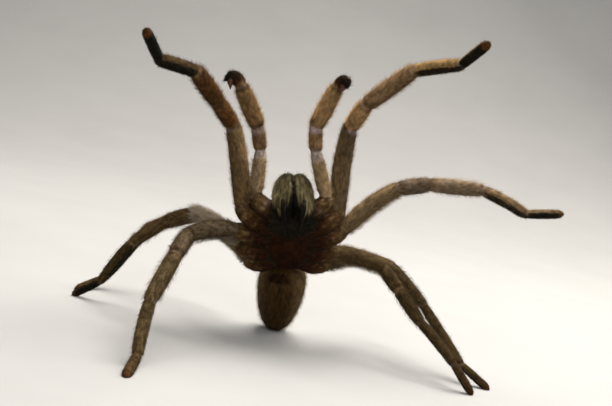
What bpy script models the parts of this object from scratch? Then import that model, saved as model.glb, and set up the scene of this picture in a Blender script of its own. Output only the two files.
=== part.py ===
"""A barking spider, a large burrowing spider, as an adult male rearing in its threat pose.

Sizes are in millimetres until a mesh is written, where MM turns them into metres.
The spider faces -Y, its own left side is towards +X, and +Z is up. It rests on z = 0 on five
feet and the tip of its abdomen. Body parts are placed in the body's own frame, as
(side, ahead, dorsal); each leg is placed in the world by the heading and the slope of every
segment. Every piece keeps GAP to the piece it grows from.
"""
import math

import bmesh
import bpy
from mathutils import Matrix, Vector

MM = 0.001
GAP = 0.3
OVERRUN = 4.0
WELD = 0.02
SHARP_ANGLE = 38.0

# How finely each form is divided: sides of a tube per quarter, or an oval's (round, along)
TUBE_FINENESS = 4
SLIM_FINENESS = 3
SPINNERET_FINENESS = 2
ABDOMEN_FINENESS = 7
CARAPACE_MESH = (28, 16)
STERNUM_MESH = (24, 12)
JAW_MESH = (20, 14)
EYE_MOUND_MESH = (14, 8)
EYE_MESH = (8, 6)

# The body's place and attitude: reared back, leaning and slightly turned
BODY_AT = Vector((-4.92, 9.87, 21.2))
REAR_UP = 66.8
LEAN = -9.0
TURN = 4.0
ATTITUDE = (Matrix.Rotation(math.radians(TURN), 3, "Z")
            @ Matrix.Rotation(math.radians(LEAN), 3, "Y")
            @ Matrix.Rotation(math.radians(-REAR_UP), 3, "X"))

# The head and thorax
CARAPACE_AHEAD = 1.0
CARAPACE_LENGTH = 16.6
CARAPACE_WIDTH = 14.4
CARAPACE_HEIGHT = 3.6
CARAPACE_FLOOR = 1.65
CARAPACE_FRONT = 8.15
CARAPACE_SQUARENESS = 0.82
CARAPACE_FULLNESS = 0.85
HEAD_START = -0.1
HEAD_SPAN = 0.9
HEAD_NARROWING = 0.24
HEAD_NARROWING_POWER = 1.5
HEAD_RISE = 0.24
THORAX_RISE = 0.86
FOVEA_AHEAD = -1.8
FOVEA_DEPTH = 0.55
FOVEA_SPREAD = (0.2, 0.13)
COXA_ROOF = 1.35
STERNUM_WIDTH = 9.2
STERNUM_LENGTH = 11.6
STERNUM_DEPTH = 3.1
STERNUM_FRONT = 6.6
STERNUM_REAR = -6.0
STERNUM_SHIFT = 0.2
STERNUM_SPARE = (2.5, 3.0, 0.6)

# The jaws, each an upright oval in front of the head, with a fang folded under it
JAW_AHEAD = 10.4
JAW_ASIDE = 2.05
JAW_SWING = 0.3
JAW_DORSAL = 0.3
JAW_HALF_WIDTH = 1.87
JAW_HALF_LENGTH = 3.3
JAW_HALF_HEIGHT = 5.2
JAW_TILT = 6.0
JAW_REAR = 8.45
JAW_SQUARENESS = 0.76
JAW_INNER_SQUARENESS = 0.35
JAW_OUTER_SQUARENESS = 0.9
JAW_LEAN = 0.62
JAW_LEAN_POWER = 1.2
FANG_ROOT = (1.75, 10.8, -4.4)
FANG_BEND = (1.60, 8.9, -6.6)
FANG_TIP = (1.25, 5.3, -6.1)
FANG_RADIUS = 0.72
FANG_TAPER = 0.82
FANG_TAPER_POWER = 1.4
FANG_STEPS = 7

# The eyes, in two rows of four on a low mound
EYE_MOUND_AHEAD = 6.3
EYE_MOUND_RISE = 5.02
EYE_MOUND_SLOPE = 0.33
EYE_MOUND_SIZE = (1.45, 0.95, 0.85)
EYES = [(0.38, 0.52, 0.26), (1.02, 0.50, 0.27), (0.42, -0.34, 0.20), (1.05, -0.26, 0.24)]
EYE_LEAST_RISE = 0.2

# The abdomen: heading, slope, then radius at each fraction of its length
ABDOMEN_AT = (-0.6, -8.5, 1.5)
ABDOMEN_HEADING = 86.0
ABDOMEN_SLOPE = -60.0
ABDOMEN_LENGTH = 15.4
ABDOMEN_RADII = [(-0.056, 4.3), (0.03, 4.95), (0.14, 5.25), (0.3, 5.25), (0.48, 5.0),
                 (0.66, 4.5), (0.82, 3.8), (0.94, 2.85), (1.0, 1.8)]
ABDOMEN_FRONT = -7.45
PEDICEL_RADIUS = 1.3
PEDICEL_WAIST = 0.86
SPINNERET_LENGTH = 4.2
SPINNERET_RADIUS = 0.62
SPINNERET_SPREAD = 24.0
SPINNERET_CLEARANCE = 0.48
SPINNERET_BEND_SHARE = 0.4
SPINNERET_RUN = [(0.0, 0.95), (0.25, 1.0), (0.5, 0.86), (0.75, 0.72), (0.93, 0.5), (1.0, 0.25)]

# Where each limb leaves the body, as (side, ahead, dorsal), and where its coxa starts, as an
# angle from straight ahead round the sternum
HIPS = {"palp": (6.9, 9.4, 0.0), 1: (9.3, 6.45, 0.0), 2: (10.0, 2.2, 0.0),
        3: (9.0, -2.0, 0.0), 4: (7.4, -5.4, 0.0)}
COXA_ANGLES = {"palp": 30.0, 1: 57.0, 2: 84.0, 3: 112.0, 4: 140.0}
COXA_DORSAL = -0.75
KNUCKLE_SHARE = 0.6
LIMB_ORDER = ["palp", 1, 2, 3, 4]
COXA_RADII = [(0.0, 1.95), (0.3, 2.15), (0.6, 2.12), (0.74, 1.95), (0.86, 1.95), (1.0, 1.62)]
MAXILLA_SHARE = 0.92
MAXILLA_BULGE = 0.6

# Segment lengths: femur, patella, tibia, metatarsus, tarsus (a palp has no metatarsus)
LENGTHS = {"palp": (9.9, 5.0, 8.5), 1: (17.8, 7.3, 11.4, 10.8, 7.9),
           2: (14.3, 6.6, 10.3, 9.9, 7.5), 3: (12.4, 5.8, 8.3, 10.6, 6.9),
           4: (15.2, 6.3, 11.9, 14.2, 7.5)}
RADII = {"palp": (1.6, 1.6, 1.9), 1: (2.05, 1.88, 1.9, 1.5, 1.15),
         2: (1.85, 1.8, 1.72, 1.4, 1.12), 3: (1.8, 1.65, 1.55, 1.25, 1.0),
         4: (1.75, 1.6, 1.5, 1.25, 1.0)}

# Radius along each segment, as (fraction of the length, share of the segment's radius)
FEMUR = [(0.0, 0.76), (0.1, 0.85), (0.3, 1.03), (0.55, 1.03), (0.8, 0.96), (1.0, 0.88)]
PATELLA = [(0.0, 0.9), (0.4, 1.02), (0.8, 1.0), (1.0, 0.86)]
TIBIA = [(0.12, 0.97), (0.4, 1.04), (0.75, 0.98), (1.0, 0.84)]
METATARSUS = [(0.0, 0.92), (0.2, 1.0), (0.6, 0.98), (1.0, 0.84)]
TARSUS = [(0.0, 0.92), (0.35, 1.0), (0.7, 1.0), (0.9, 0.93), (0.98, 0.72), (1.0, 0.45)]
FEMUR_BOW = 0.05
METATARSUS_BOW = 0.03

# Heading and slope in degrees of each segment, from the hip outwards. A tarsus with no slope
# of its own reaches down to the floor.
POSES = {
    ("right", 1): [(126, 58), (-129, 38), (-113, 27), (-121, 5), (-110, 36)],
    ("left", 1): [(102, 71), (-67, 46), (-28, 45), (-42, 15), (-60, 35)],
    ("right", 2): [(-126, -4), (-97, -24), (-105, -44), (-88, -66), (-92, None)],
    ("left", 2): [(7, 50), (10, 18), (-1, 6), (0, -17), (2, 12)],
    ("right", 3): [(164, 20), (-177, -28), (172, -44), (-178, -62), (171, None)],
    ("left", 3): [(28, -10), (-38, -34), (-37, -36), (-35, -31), (-14, None)],
    ("right", 4): [(119, 10), (164, 19), (180, -25), (-162, -60), (-130, None)],
    ("left", 4): [(56, 4), (-3, -8), (-50, -24), (-31, -40), (-12, None)],
}
PALP_POSES = {"right": [(105, 64), (-159, 71), (-146, 53)],
              "left": [(161, 64), (134, 72), (-12, 73)]}
TOE_HEIGHT = 0.1

# The tip of each male palp: two short hooked runs and a pear-shaped bulb with a drawn-out end
CYMBIUM_RUNS = {"right": [(-150, 56, 3.4), (-155, -52, 2.4)],
                "left": [(-45, 55, 3.3), (-70, -55, 2.4)]}
CYMBIUM_RADII = [(0.0, 1.4), (0.25, 1.55), (0.5, 1.55), (0.75, 1.4), (0.93, 1.1), (1.0, 0.7)]
BULB_RUN = [(0.0, 0.7), (0.3, 0.85), (0.6, 0.8), (0.8, 0.5), (0.92, 0.32), (1.0, 0.26)]
BULB_LENGTH = 3.0
BULB_WAYS = {"right": (-60, -75), "left": (175, -73)}
BULB_SINK = 0.6
BULB_STATION = 3

COLOURS = {
    "leg": (0.235, 0.190, 0.120),
    "palp": (0.300, 0.225, 0.145),
    "carapace": (0.200, 0.150, 0.095),
    "sternum": (0.085, 0.045, 0.030),
    "jaw": (0.240, 0.225, 0.165),
    "fang": (0.012, 0.009, 0.008),
    "abdomen": (0.200, 0.170, 0.110),
    "eye": (0.020, 0.020, 0.022),
}
ROUGHNESS = {"fang": 0.18, "eye": 0.10}


def heading(azimuth, slope):
    """Unit vector for an azimuth round +Z from +X and a slope above the floor, in degrees."""
    turn = math.radians(azimuth)
    rise = math.radians(slope)
    return Vector((math.cos(rise) * math.cos(turn), math.cos(rise) * math.sin(turn),
                   math.sin(rise)))


def body_vector(side, ahead, dorsal):
    """Direction in the world of one given in the body's frame."""
    return ATTITUDE @ Vector((side, -ahead, dorsal))


def body_point(side, ahead, dorsal):
    """Point in the world of one given in the body's frame."""
    return BODY_AT + body_vector(side, ahead, dorsal)


def sided(side, point):
    """A (side, ahead, dorsal) place for the right or the left side of the body."""
    return (point[0] if side == "left" else -point[0], point[1], point[2])


def make_material(kind):
    material = bpy.data.materials.new(kind)
    material.use_nodes = True
    shader = material.node_tree.nodes["Principled BSDF"]
    shader.inputs["Base Color"].default_value = (*COLOURS[kind], 1.0)
    shader.inputs["Roughness"].default_value = ROUGHNESS.get(kind, 0.85)
    shader.inputs["Metallic"].default_value = 0.0
    return material


class Builder:
    """Turns the pieces, modelled in millimetres, into objects in metres in one collection."""

    def __init__(self, name):
        self.collection = bpy.data.collections.new(name)
        bpy.context.scene.collection.children.link(self.collection)
        self.materials = {kind: make_material(kind) for kind in COLOURS}

    def add(self, name, bm, kind):
        """Add a closed bmesh as a node, cut level at the floor where it reaches it."""
        if min(vertex.co.z for vertex in bm.verts) < 0.0:
            cut(bm, Vector((0, 0, 0)), Vector((0, 0, -1)), spare=0.0)
        tidy(bm)
        bmesh.ops.scale(bm, vec=(MM, MM, MM), verts=bm.verts)
        mesh = bpy.data.meshes.new(name)
        bm.to_mesh(mesh)
        bm.free()
        mesh.shade_smooth()
        mesh.set_sharp_from_angle(angle=math.radians(SHARP_ANGLE))
        mesh.materials.append(self.materials[kind])
        thing = bpy.data.objects.new(name, mesh)
        self.collection.objects.link(thing)
        return thing


def tidy(bm):
    """Weld what lies closer than WELD and face every side outwards."""
    bmesh.ops.remove_doubles(bm, verts=bm.verts, dist=WELD)
    bmesh.ops.dissolve_degenerate(bm, edges=bm.edges, dist=WELD)
    bmesh.ops.recalc_face_normals(bm, faces=bm.faces)


def cut(bm, point, outward, spare=GAP / 2):
    """Cut off all that lies outwards of a plane, less half a gap, and close the cut."""
    place = Vector(point) - Vector(outward).normalized() * spare
    found = bmesh.ops.bisect_plane(bm, geom=bm.verts[:] + bm.edges[:] + bm.faces[:],
                                   dist=0.004, plane_co=place, plane_no=outward,
                                   clear_outer=True)
    edges = [item for item in found["geom_cut"] if isinstance(item, bmesh.types.BMEdge)]
    if edges:
        bmesh.ops.edgeloop_fill(bm, edges=edges)


def tube(stations, fineness=TUBE_FINENESS):
    """Closed round tube along a path of (point, radius) stations, as a bmesh."""
    curve = bpy.data.curves.new("path", "CURVE")
    curve.dimensions = "3D"
    curve.bevel_depth = 1.0
    curve.bevel_resolution = fineness
    curve.use_fill_caps = True
    spline = curve.splines.new("POLY")
    spline.points.add(len(stations) - 1)
    for place, (point, radius) in zip(spline.points, stations):
        place.co = (*point, 1.0)
        place.radius = radius
    guide = bpy.data.objects.new("path", curve)
    bpy.context.scene.collection.objects.link(guide)
    seen = guide.evaluated_get(bpy.context.evaluated_depsgraph_get())
    mesh = bpy.data.meshes.new_from_object(seen)
    bm = bmesh.new()
    bm.from_mesh(mesh)
    bmesh.ops.transform(bm, matrix=guide.matrix_world, verts=bm.verts)
    bmesh.ops.remove_doubles(bm, verts=bm.verts, dist=0.001)
    bpy.data.objects.remove(guide)
    bpy.data.curves.remove(curve)
    bpy.data.meshes.remove(mesh)
    return bm


def oval(centre, size, mesh, turn=None, shape=None):
    """Ellipsoid in the world. shape, if given, remaps each point of the unit sphere first."""
    bm = bmesh.new()
    bmesh.ops.create_uvsphere(bm, u_segments=mesh[0], v_segments=mesh[1], radius=1.0)
    for vertex in bm.verts:
        local = shape(vertex.co) if shape else vertex.co.copy()
        local = Vector(a * b for a, b in zip(local, size))
        if turn:
            local = turn @ local
        vertex.co = Vector(centre) + local
    return bm


def joined(name, pieces):
    """One closed bmesh from overlapping bmeshes, by a Boolean union."""
    group = bpy.data.collections.new(name + "_pieces")
    bpy.context.scene.collection.children.link(group)
    for number, piece in enumerate(pieces):
        bmesh.ops.recalc_face_normals(piece, faces=piece.faces)
        mesh = bpy.data.meshes.new(f"{name}_{number}")
        piece.to_mesh(mesh)
        piece.free()
        thing = bpy.data.objects.new(f"{name}_{number}", mesh)
        thing.hide_render = True
        thing.display_type = "WIRE"
        (group.objects if number else bpy.context.scene.collection.objects).link(thing)
        if number == 0:
            core = thing
    union = core.modifiers.new("union", "BOOLEAN")
    union.operation = "UNION"
    union.solver = "EXACT"
    union.operand_type = "COLLECTION"
    union.collection = group
    seen = core.evaluated_get(bpy.context.evaluated_depsgraph_get())
    mesh = bpy.data.meshes.new_from_object(seen)
    bm = bmesh.new()
    bm.from_mesh(mesh)
    for thing in [core, *group.objects]:
        bpy.data.objects.remove(thing)
    bpy.data.collections.remove(group)
    return bm


def curved(start, control, end, t):
    """Point at t along a smooth bend from start to end, drawn towards control."""
    return start.lerp(control, t).lerp(control.lerp(end, t), t)


def along(start, end, profile, radius, bow=0.0, upward=None):
    """Stations of one straight or slightly bowed segment."""
    stations = []
    run = end - start
    rise = Vector((0, 0, 0))
    if bow and upward is not None:
        across = upward - upward.project(run)
        rise = across.normalized() * run.length * bow
    for fraction, share in profile:
        swell = 4 * fraction * (1 - fraction)
        stations.append((start + run * fraction + rise * swell, radius * share))
    return stations


def overrun(stations, ahead=True, behind=True):
    """Stations drawn out past their ends, so that the ends can be cut on a slant."""
    first, second = stations[0], stations[1]
    last, before = stations[-1], stations[-2]
    longer = list(stations)
    if behind:
        back = (first[0] - second[0]).normalized()
        longer.insert(0, (first[0] + back * OVERRUN, first[1]))
    if ahead:
        on = (last[0] - before[0]).normalized()
        longer.append((last[0] + on * OVERRUN, last[1]))
    return longer


class Limb:
    """Joint places of one leg or palp, its mitre planes and the way its back faces."""

    def __init__(self, side, number, pose):
        self.hip_place = sided(side, HIPS[number])
        self.joints = [body_point(*self.hip_place)]
        for (azimuth, slope), length in zip(pose, LENGTHS[number]):
            if slope is None:
                drop = (TOE_HEIGHT - self.joints[-1].z) / length
                slope = math.degrees(math.asin(drop))
            self.joints.append(self.joints[-1] + heading(azimuth, slope) * length)
        knee = self.joints[1]
        self.upward = knee - (self.joints[0] + self.joints[-1]) / 2

    def mitre(self, joint, before=None):
        """Normal of the plane that halves the bend at a joint, pointing outwards."""
        after = (self.joints[joint + 1] - self.joints[joint]).normalized()
        if before is None:
            before = (self.joints[joint] - self.joints[joint - 1]).normalized()
        return (after + before).normalized()


def coxa_start(side, number):
    """Inner end of a coxa at the rim of the sternum."""
    angle = math.radians(COXA_ANGLES[number])
    return sided(side, (STERNUM_WIDTH / 2 * math.sin(angle),
                        STERNUM_SHIFT + STERNUM_LENGTH / 2 * math.cos(angle), COXA_DORSAL))


def coxa_line(side, number):
    """Inner end, knuckle and outer end of a coxa, in the body's frame."""
    start = Vector(coxa_start(side, number))
    end = Vector(sided(side, HIPS[number]))
    knuckle = start.lerp(end, KNUCKLE_SHARE)
    knuckle.z = COXA_DORSAL
    if number == "palp":
        knuckle.y += MAXILLA_BULGE
    return start, knuckle, end


def coxa_run(side, number):
    """Direction in the world in which a coxa ends."""
    start, knuckle, end = coxa_line(side, number)
    return body_vector(*(end - knuckle)).normalized()


def make_coxa(builder, side, number, limb, name, kind):
    """Coxa with its trochanter, pressed between its neighbours under the carapace."""
    start, knuckle, end = coxa_line(side, number)
    stations = []
    for fraction, radius in COXA_RADII:
        if fraction <= KNUCKLE_SHARE:
            place = start.lerp(knuckle, fraction / KNUCKLE_SHARE)
        else:
            place = knuckle.lerp(end, (fraction - KNUCKLE_SHARE) / (1 - KNUCKLE_SHARE))
        if number == "palp":
            radius *= MAXILLA_SHARE
        stations.append((body_point(*place), radius))
    bm = tube(overrun(stations))
    inward = body_vector(*(start - knuckle))
    cut(bm, body_point(*start), inward)
    cut(bm, limb.joints[0], limb.mitre(0, before=coxa_run(side, number)))
    if number == "palp":
        corner = sided(side, (JAW_ASIDE + JAW_HALF_WIDTH, JAW_REAR, 0))
        run = end - start
        turn = 1 if side == "left" else -1
        medial = body_vector(-run.y * turn, run.x * turn, 0)
        cut(bm, body_point(corner[0] + JAW_SWING, *corner[1:]), medial, spare=GAP)
    place = LIMB_ORDER.index(number)
    for step in (-1, 1):
        if 0 <= place + step < len(LIMB_ORDER):
            other = coxa_line(side, LIMB_ORDER[place + step])
            inner = (start + other[0]) / 2
            outer = (end + other[2]) / 2
            border = (outer - inner).cross(Vector((0, 0, 1)))
            if border.dot(other[2] - end) < 0:
                border.negate()
            cut(bm, body_point(*inner), body_vector(*border))
    builder.add(name, bm, kind)


def make_leg(builder, side, number):
    limb = Limb(side, number, POSES[(side, number)])
    name = f"leg_{side}_{number}"
    joints = limb.joints
    femur, patella, tibia, metatarsus, tarsus = RADII[number]
    make_coxa(builder, side, number, limb, name + "_coxa", "leg")

    bm = tube(overrun(along(joints[0], joints[1], FEMUR, femur, FEMUR_BOW, limb.upward)))
    cut(bm, joints[0], -limb.mitre(0, before=coxa_run(side, number)))
    cut(bm, joints[1], limb.mitre(1))
    builder.add(name + "_femur", bm, "leg")

    shank = along(joints[1], joints[2], PATELLA, patella)
    shank += along(joints[2], joints[3], TIBIA, tibia)
    bm = tube(overrun(shank))
    cut(bm, joints[1], -limb.mitre(1))
    cut(bm, joints[3], limb.mitre(3))
    builder.add(name + "_shank", bm, "leg")

    run = along(joints[3], joints[4], METATARSUS, metatarsus, METATARSUS_BOW, limb.upward)
    bm = tube(overrun(run))
    cut(bm, joints[3], -limb.mitre(3))
    cut(bm, joints[4], limb.mitre(4))
    builder.add(name + "_metatarsus", bm, "leg")

    bm = tube(overrun(along(joints[4], joints[5], TARSUS, tarsus), ahead=False))
    cut(bm, joints[4], -limb.mitre(4))
    builder.add(name + "_tarsus", bm, "leg")


def make_palp(builder, side):
    limb = Limb(side, "palp", PALP_POSES[side])
    name = f"palp_{side}"
    joints = limb.joints
    femur, patella, tibia = RADII["palp"]
    make_coxa(builder, side, "palp", limb, name + "_coxa", "palp")

    bm = tube(overrun(along(joints[0], joints[1], FEMUR, femur)))
    cut(bm, joints[0], -limb.mitre(0, before=coxa_run(side, "palp")))
    cut(bm, joints[1], limb.mitre(1))
    builder.add(name + "_femur", bm, "palp")

    tip_runs = [heading(a, s) * length for a, s, length in CYMBIUM_RUNS[side]]
    tip = joints[3]
    bend = tip + tip_runs[0]
    end = bend + tip_runs[1]
    fold = ((tip - joints[2]).normalized() + (bend - tip).normalized()).normalized()
    shank = along(joints[1], joints[2], PATELLA, patella)
    shank += along(joints[2], joints[3], TIBIA, tibia)
    bm = tube(overrun(shank))
    cut(bm, joints[1], -limb.mitre(1))
    cut(bm, tip, fold)
    builder.add(name + "_shank", bm, "palp")

    hood = [(curved(tip, bend, end, t), radius) for t, radius in CYMBIUM_RADII]
    hook = tube(overrun(hood, ahead=False))
    cut(hook, tip, -fold)
    way = heading(*BULB_WAYS[side])
    root = hood[BULB_STATION][0] - way * BULB_SINK
    pear = [(root + way * BULB_LENGTH * t, radius) for t, radius in BULB_RUN]
    bulb = tube(pear, SLIM_FINENESS)
    bm = joined(name, [hook, bulb])
    builder.add(name + "_tarsus", bm, "palp")


def carapace_shape(point):
    """Unit sphere to a carapace: squarer in plan, narrower at the head, dipped at the fovea."""
    plan = math.hypot(point.x, point.y)
    if plan < 1e-6:
        return Vector((0.0, 0.0, point.z))
    across, ahead = point.x / plan, -point.y / plan
    across = math.copysign(abs(across) ** CARAPACE_SQUARENESS, across)
    ahead = math.copysign(abs(ahead) ** CARAPACE_SQUARENESS, ahead)
    reach = plan ** CARAPACE_FULLNESS
    across *= reach
    ahead *= reach
    headward = min(max((ahead - HEAD_START) / HEAD_SPAN, 0.0), 1.0)
    across *= 1.0 - HEAD_NARROWING * headward ** HEAD_NARROWING_POWER
    rise = point.z * (THORAX_RISE + HEAD_RISE * headward)
    fovea = (FOVEA_AHEAD - CARAPACE_AHEAD) / (CARAPACE_LENGTH / 2)
    wide, long = FOVEA_SPREAD
    dip = math.exp(-((ahead - fovea) / long) ** 2 - (across / wide) ** 2)
    rise -= FOVEA_DEPTH / CARAPACE_HEIGHT * dip * max(point.z, 0.0)
    return Vector((across, -ahead, rise))


def make_carapace(builder):
    size = (CARAPACE_WIDTH / 2, CARAPACE_LENGTH / 2, CARAPACE_HEIGHT)
    floor = body_point(0, CARAPACE_AHEAD, CARAPACE_FLOOR)
    bm = oval(floor, size, CARAPACE_MESH, ATTITUDE, carapace_shape)
    cut(bm, floor, body_vector(0, 0, -1), spare=0.0)
    cut(bm, body_point(0, CARAPACE_FRONT, 0), body_vector(0, 1, 0), spare=0.0)
    builder.add("carapace", bm, "carapace")


def make_eyes(builder):
    centre = (0.0, EYE_MOUND_AHEAD, EYE_MOUND_RISE)
    mound = oval(body_point(*centre), EYE_MOUND_SIZE, EYE_MOUND_MESH, ATTITUDE)
    lenses = []
    for aside, ahead, radius in EYES:
        left_over = 1 - (aside / EYE_MOUND_SIZE[0]) ** 2 - (ahead / EYE_MOUND_SIZE[1]) ** 2
        height = EYE_MOUND_SIZE[2] * max(math.sqrt(max(left_over, 0.0)), EYE_LEAST_RISE)
        for sign in (-1, 1):
            place = body_point(sign * aside, centre[1] + ahead, centre[2] + height)
            lenses.append(oval(place, (radius, radius, radius), EYE_MESH))
    bm = joined("eyes", [mound, *lenses])
    cut(bm, body_point(*centre), body_vector(0, -EYE_MOUND_SLOPE, -1), spare=0.0)
    builder.add("eyes", bm, "eye")


def make_sternum(builder):
    """Sternum, cut from a larger oval where each coxa meets it."""
    wide, long, deep = STERNUM_SPARE
    size = (STERNUM_WIDTH / 2 + wide, STERNUM_LENGTH / 2 + long, STERNUM_DEPTH + deep)
    bm = oval(body_point(0, 0, 0), size, STERNUM_MESH, ATTITUDE)
    cut(bm, body_point(0, 0, COXA_ROOF + GAP / 2), body_vector(0, 0, 1))
    cut(bm, body_point(0, STERNUM_FRONT, 0), body_vector(0, 1, 0))
    cut(bm, body_point(0, STERNUM_REAR, 0), body_vector(0, -1, 0))
    for side in ("left", "right"):
        for number in LIMB_ORDER:
            start, knuckle, end = coxa_line(side, number)
            cut(bm, body_point(*start), body_vector(*(knuckle - start)))
    builder.add("sternum", bm, "sternum")


def jaw_place(side, place):
    """Point of one jaw in the world; both jaws swing a little to the left side."""
    aside, ahead, dorsal = sided(side, place)
    return body_point(aside + JAW_SWING, ahead, dorsal)


def jaw_shape(side):
    """Unit sphere to one jaw: squarer, flat along the slit, its top drawn to the slit."""
    outward = 1 if side == "left" else -1

    def shaped(point):
        aside, back, dorsal = point
        aside *= outward
        share = JAW_OUTER_SQUARENESS if aside > 0 else JAW_INNER_SQUARENESS
        aside = math.copysign(abs(aside) ** share, aside)
        back = math.copysign(abs(back) ** JAW_SQUARENESS, back)
        dorsal = math.copysign(abs(dorsal) ** JAW_SQUARENESS, dorsal)
        aside = (aside + 1) * (1 - JAW_LEAN * max(-back, 0) ** JAW_LEAN_POWER) - 1
        return Vector((aside * outward, back, dorsal))
    return shaped


def make_jaw(builder, side):
    """Chelicera and its folded fang."""
    centre = jaw_place(side, (JAW_ASIDE, JAW_AHEAD, JAW_DORSAL))
    turn = ATTITUDE @ Matrix.Rotation(math.radians(JAW_TILT), 3, "X")
    size = (JAW_HALF_WIDTH, JAW_HALF_LENGTH, JAW_HALF_HEIGHT)
    bm = oval(centre, size, JAW_MESH, turn, jaw_shape(side))
    root, bend, tip = [jaw_place(side, place) for place in (FANG_ROOT, FANG_BEND, FANG_TIP)]
    cut(bm, body_point(0, JAW_REAR, 0), body_vector(0, -1, 0), spare=0.0)
    cut(bm, root, bend - root)
    builder.add(f"chelicera_{side}", bm, "jaw")

    stations = []
    for step in range(FANG_STEPS + 1):
        t = step / FANG_STEPS
        radius = FANG_RADIUS * (1 - FANG_TAPER * t ** FANG_TAPER_POWER)
        stations.append((curved(root, bend, tip, t), radius))
    bm = tube(overrun(stations, ahead=False), SLIM_FINENESS)
    cut(bm, root, root - bend)
    builder.add(f"fang_{side}", bm, "fang")


def make_abdomen(builder):
    """Abdomen with its pedicel in front and two spinnerets behind."""
    front = body_point(*ABDOMEN_AT)
    axis = heading(ABDOMEN_HEADING, ABDOMEN_SLOPE)
    stations = [(front + axis * ABDOMEN_LENGTH * t, radius) for t, radius in ABDOMEN_RADII]
    bm = tube(stations, ABDOMEN_FINENESS)
    cut(bm, body_point(0, ABDOMEN_FRONT, 0), body_vector(0, 1, 0))
    builder.add("abdomen", bm, "abdomen")

    middle = (STERNUM_REAR + ABDOMEN_FRONT) / 2
    bm = tube([(body_point(0, STERNUM_REAR - GAP / 2, 0.0), PEDICEL_RADIUS),
               (body_point(0, middle, 0.0), PEDICEL_RADIUS * PEDICEL_WAIST),
               (body_point(0, ABDOMEN_FRONT + GAP / 2, 0.0), PEDICEL_RADIUS)], SLIM_FINENESS)
    builder.add("pedicel", bm, "carapace")

    share, width = ABDOMEN_RADII[-2]
    rear = front + axis * ABDOMEN_LENGTH * share
    back = heading(ABDOMEN_HEADING, ABDOMEN_SLOPE + 90)
    for side, sign in (("left", 1), ("right", -1)):
        way = Matrix.Rotation(math.radians(sign * SPINNERET_SPREAD), 3, axis) @ back
        start = rear + way * (width + SPINNERET_CLEARANCE)
        bend = start + way * SPINNERET_LENGTH * SPINNERET_BEND_SHARE
        on = SPINNERET_LENGTH * (1 - SPINNERET_BEND_SHARE)
        end = bend + (way + axis).normalized() * on
        stations = []
        for t, share in SPINNERET_RUN:
            stations.append((curved(start, bend, end, t), SPINNERET_RADIUS * share))
        builder.add(f"spinneret_{side}", tube(stations, SPINNERET_FINENESS), "abdomen")


def build():
    for thing in list(bpy.data.objects):
        bpy.data.objects.remove(thing)
    builder = Builder("barking_spider")
    make_carapace(builder)
    make_eyes(builder)
    make_sternum(builder)
    make_abdomen(builder)
    for side in ("left", "right"):
        make_jaw(builder, side)
        make_palp(builder, side)
        for number in (1, 2, 3, 4):
            make_leg(builder, side, number)
    return builder


if __name__ == "__main__":
    build()
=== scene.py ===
"""Looks of the barking spider: one skin, its coat as fine tufts, eyes, fangs, claws and bulbs.

Shapes are worked out in millimetres, in the frame of the CAD, and written in metres.
"""
import math
import bpy
import numpy as np
from mathutils import Matrix


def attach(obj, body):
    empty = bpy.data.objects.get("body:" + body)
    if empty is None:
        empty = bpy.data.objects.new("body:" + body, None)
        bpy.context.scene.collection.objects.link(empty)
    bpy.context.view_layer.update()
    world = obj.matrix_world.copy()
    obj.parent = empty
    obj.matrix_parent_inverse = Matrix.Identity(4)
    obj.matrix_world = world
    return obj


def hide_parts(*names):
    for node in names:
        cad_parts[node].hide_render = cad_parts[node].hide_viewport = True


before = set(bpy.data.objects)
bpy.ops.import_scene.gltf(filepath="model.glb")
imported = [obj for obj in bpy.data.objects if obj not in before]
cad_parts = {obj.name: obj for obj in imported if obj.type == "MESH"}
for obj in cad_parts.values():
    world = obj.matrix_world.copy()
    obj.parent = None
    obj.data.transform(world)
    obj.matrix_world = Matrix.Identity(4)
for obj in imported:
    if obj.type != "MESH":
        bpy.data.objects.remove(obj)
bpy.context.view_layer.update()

MM = 0.001
VOXEL = 0.26
SEED = 7
LOWEST, CLAW_LOWEST = 0.02, 0.16
# How far the skin lies under the solids' surface, which leaves room for the coat
COAT, COAT_ELSEWHERE = {"tarsus": 0.20, "metatarsus": 0.26}, 0.33
COXA_COAT, CARAPACE_COAT, ABDOMEN_COAT = 0.14, 0.3, 0.45

# Places and sizes shared with the solids
BODY_AT = np.array((-4.92, 9.87, 21.2))
REAR_UP, LEAN, TURN = 66.8, -9.0, 4.0
CARAPACE_AHEAD, CARAPACE_LENGTH, CARAPACE_WIDTH = 1.0, 16.6, 14.4
CARAPACE_HEIGHT, CARAPACE_FLOOR = 3.6, 1.65
HEAD_NARROWING, HEAD_FRONT, FOVEA_AHEAD = 0.24, 8.0, -1.8
STERNUM_WIDTH, STERNUM_LENGTH = 9.2, 11.6
STERNUM_REAR, ABDOMEN_FRONT = -6.0, -7.45
# The last two entries of JAW place a dark filler that closes the top of the slit between the jaws:
# painted shade
JAW = {"aside": 2.05, "ahead": 10.4, "dorsal": 0.3, "swing": 0.3, "tilt": 6.0,
       "half": (1.87, 3.3, 5.2), "coat": (0.0, 0.15, 0.2), "lie": (0, -0.5, -1),
       "slit_shade": (12.1, 3.0), "bridge half": (0.5, 0.8, 1.3)}
FANG_ROOT, FANG_BEND, FANG_TIP = (1.75, 10.8, -4.4), (1.60, 8.9, -6.6), (1.25, 5.3, -6.1)
FANG_RADIUS = 0.72
EYE_MOUND_AHEAD, EYE_MOUND_RISE = 6.3, 5.02
EYE_MOUND_SIZE = (1.45, 0.95, 0.85)
EYES = [(0.38, 0.52, 0.26), (1.02, 0.50, 0.27), (0.42, -0.34, 0.20), (1.05, -0.26, 0.24)]
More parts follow.
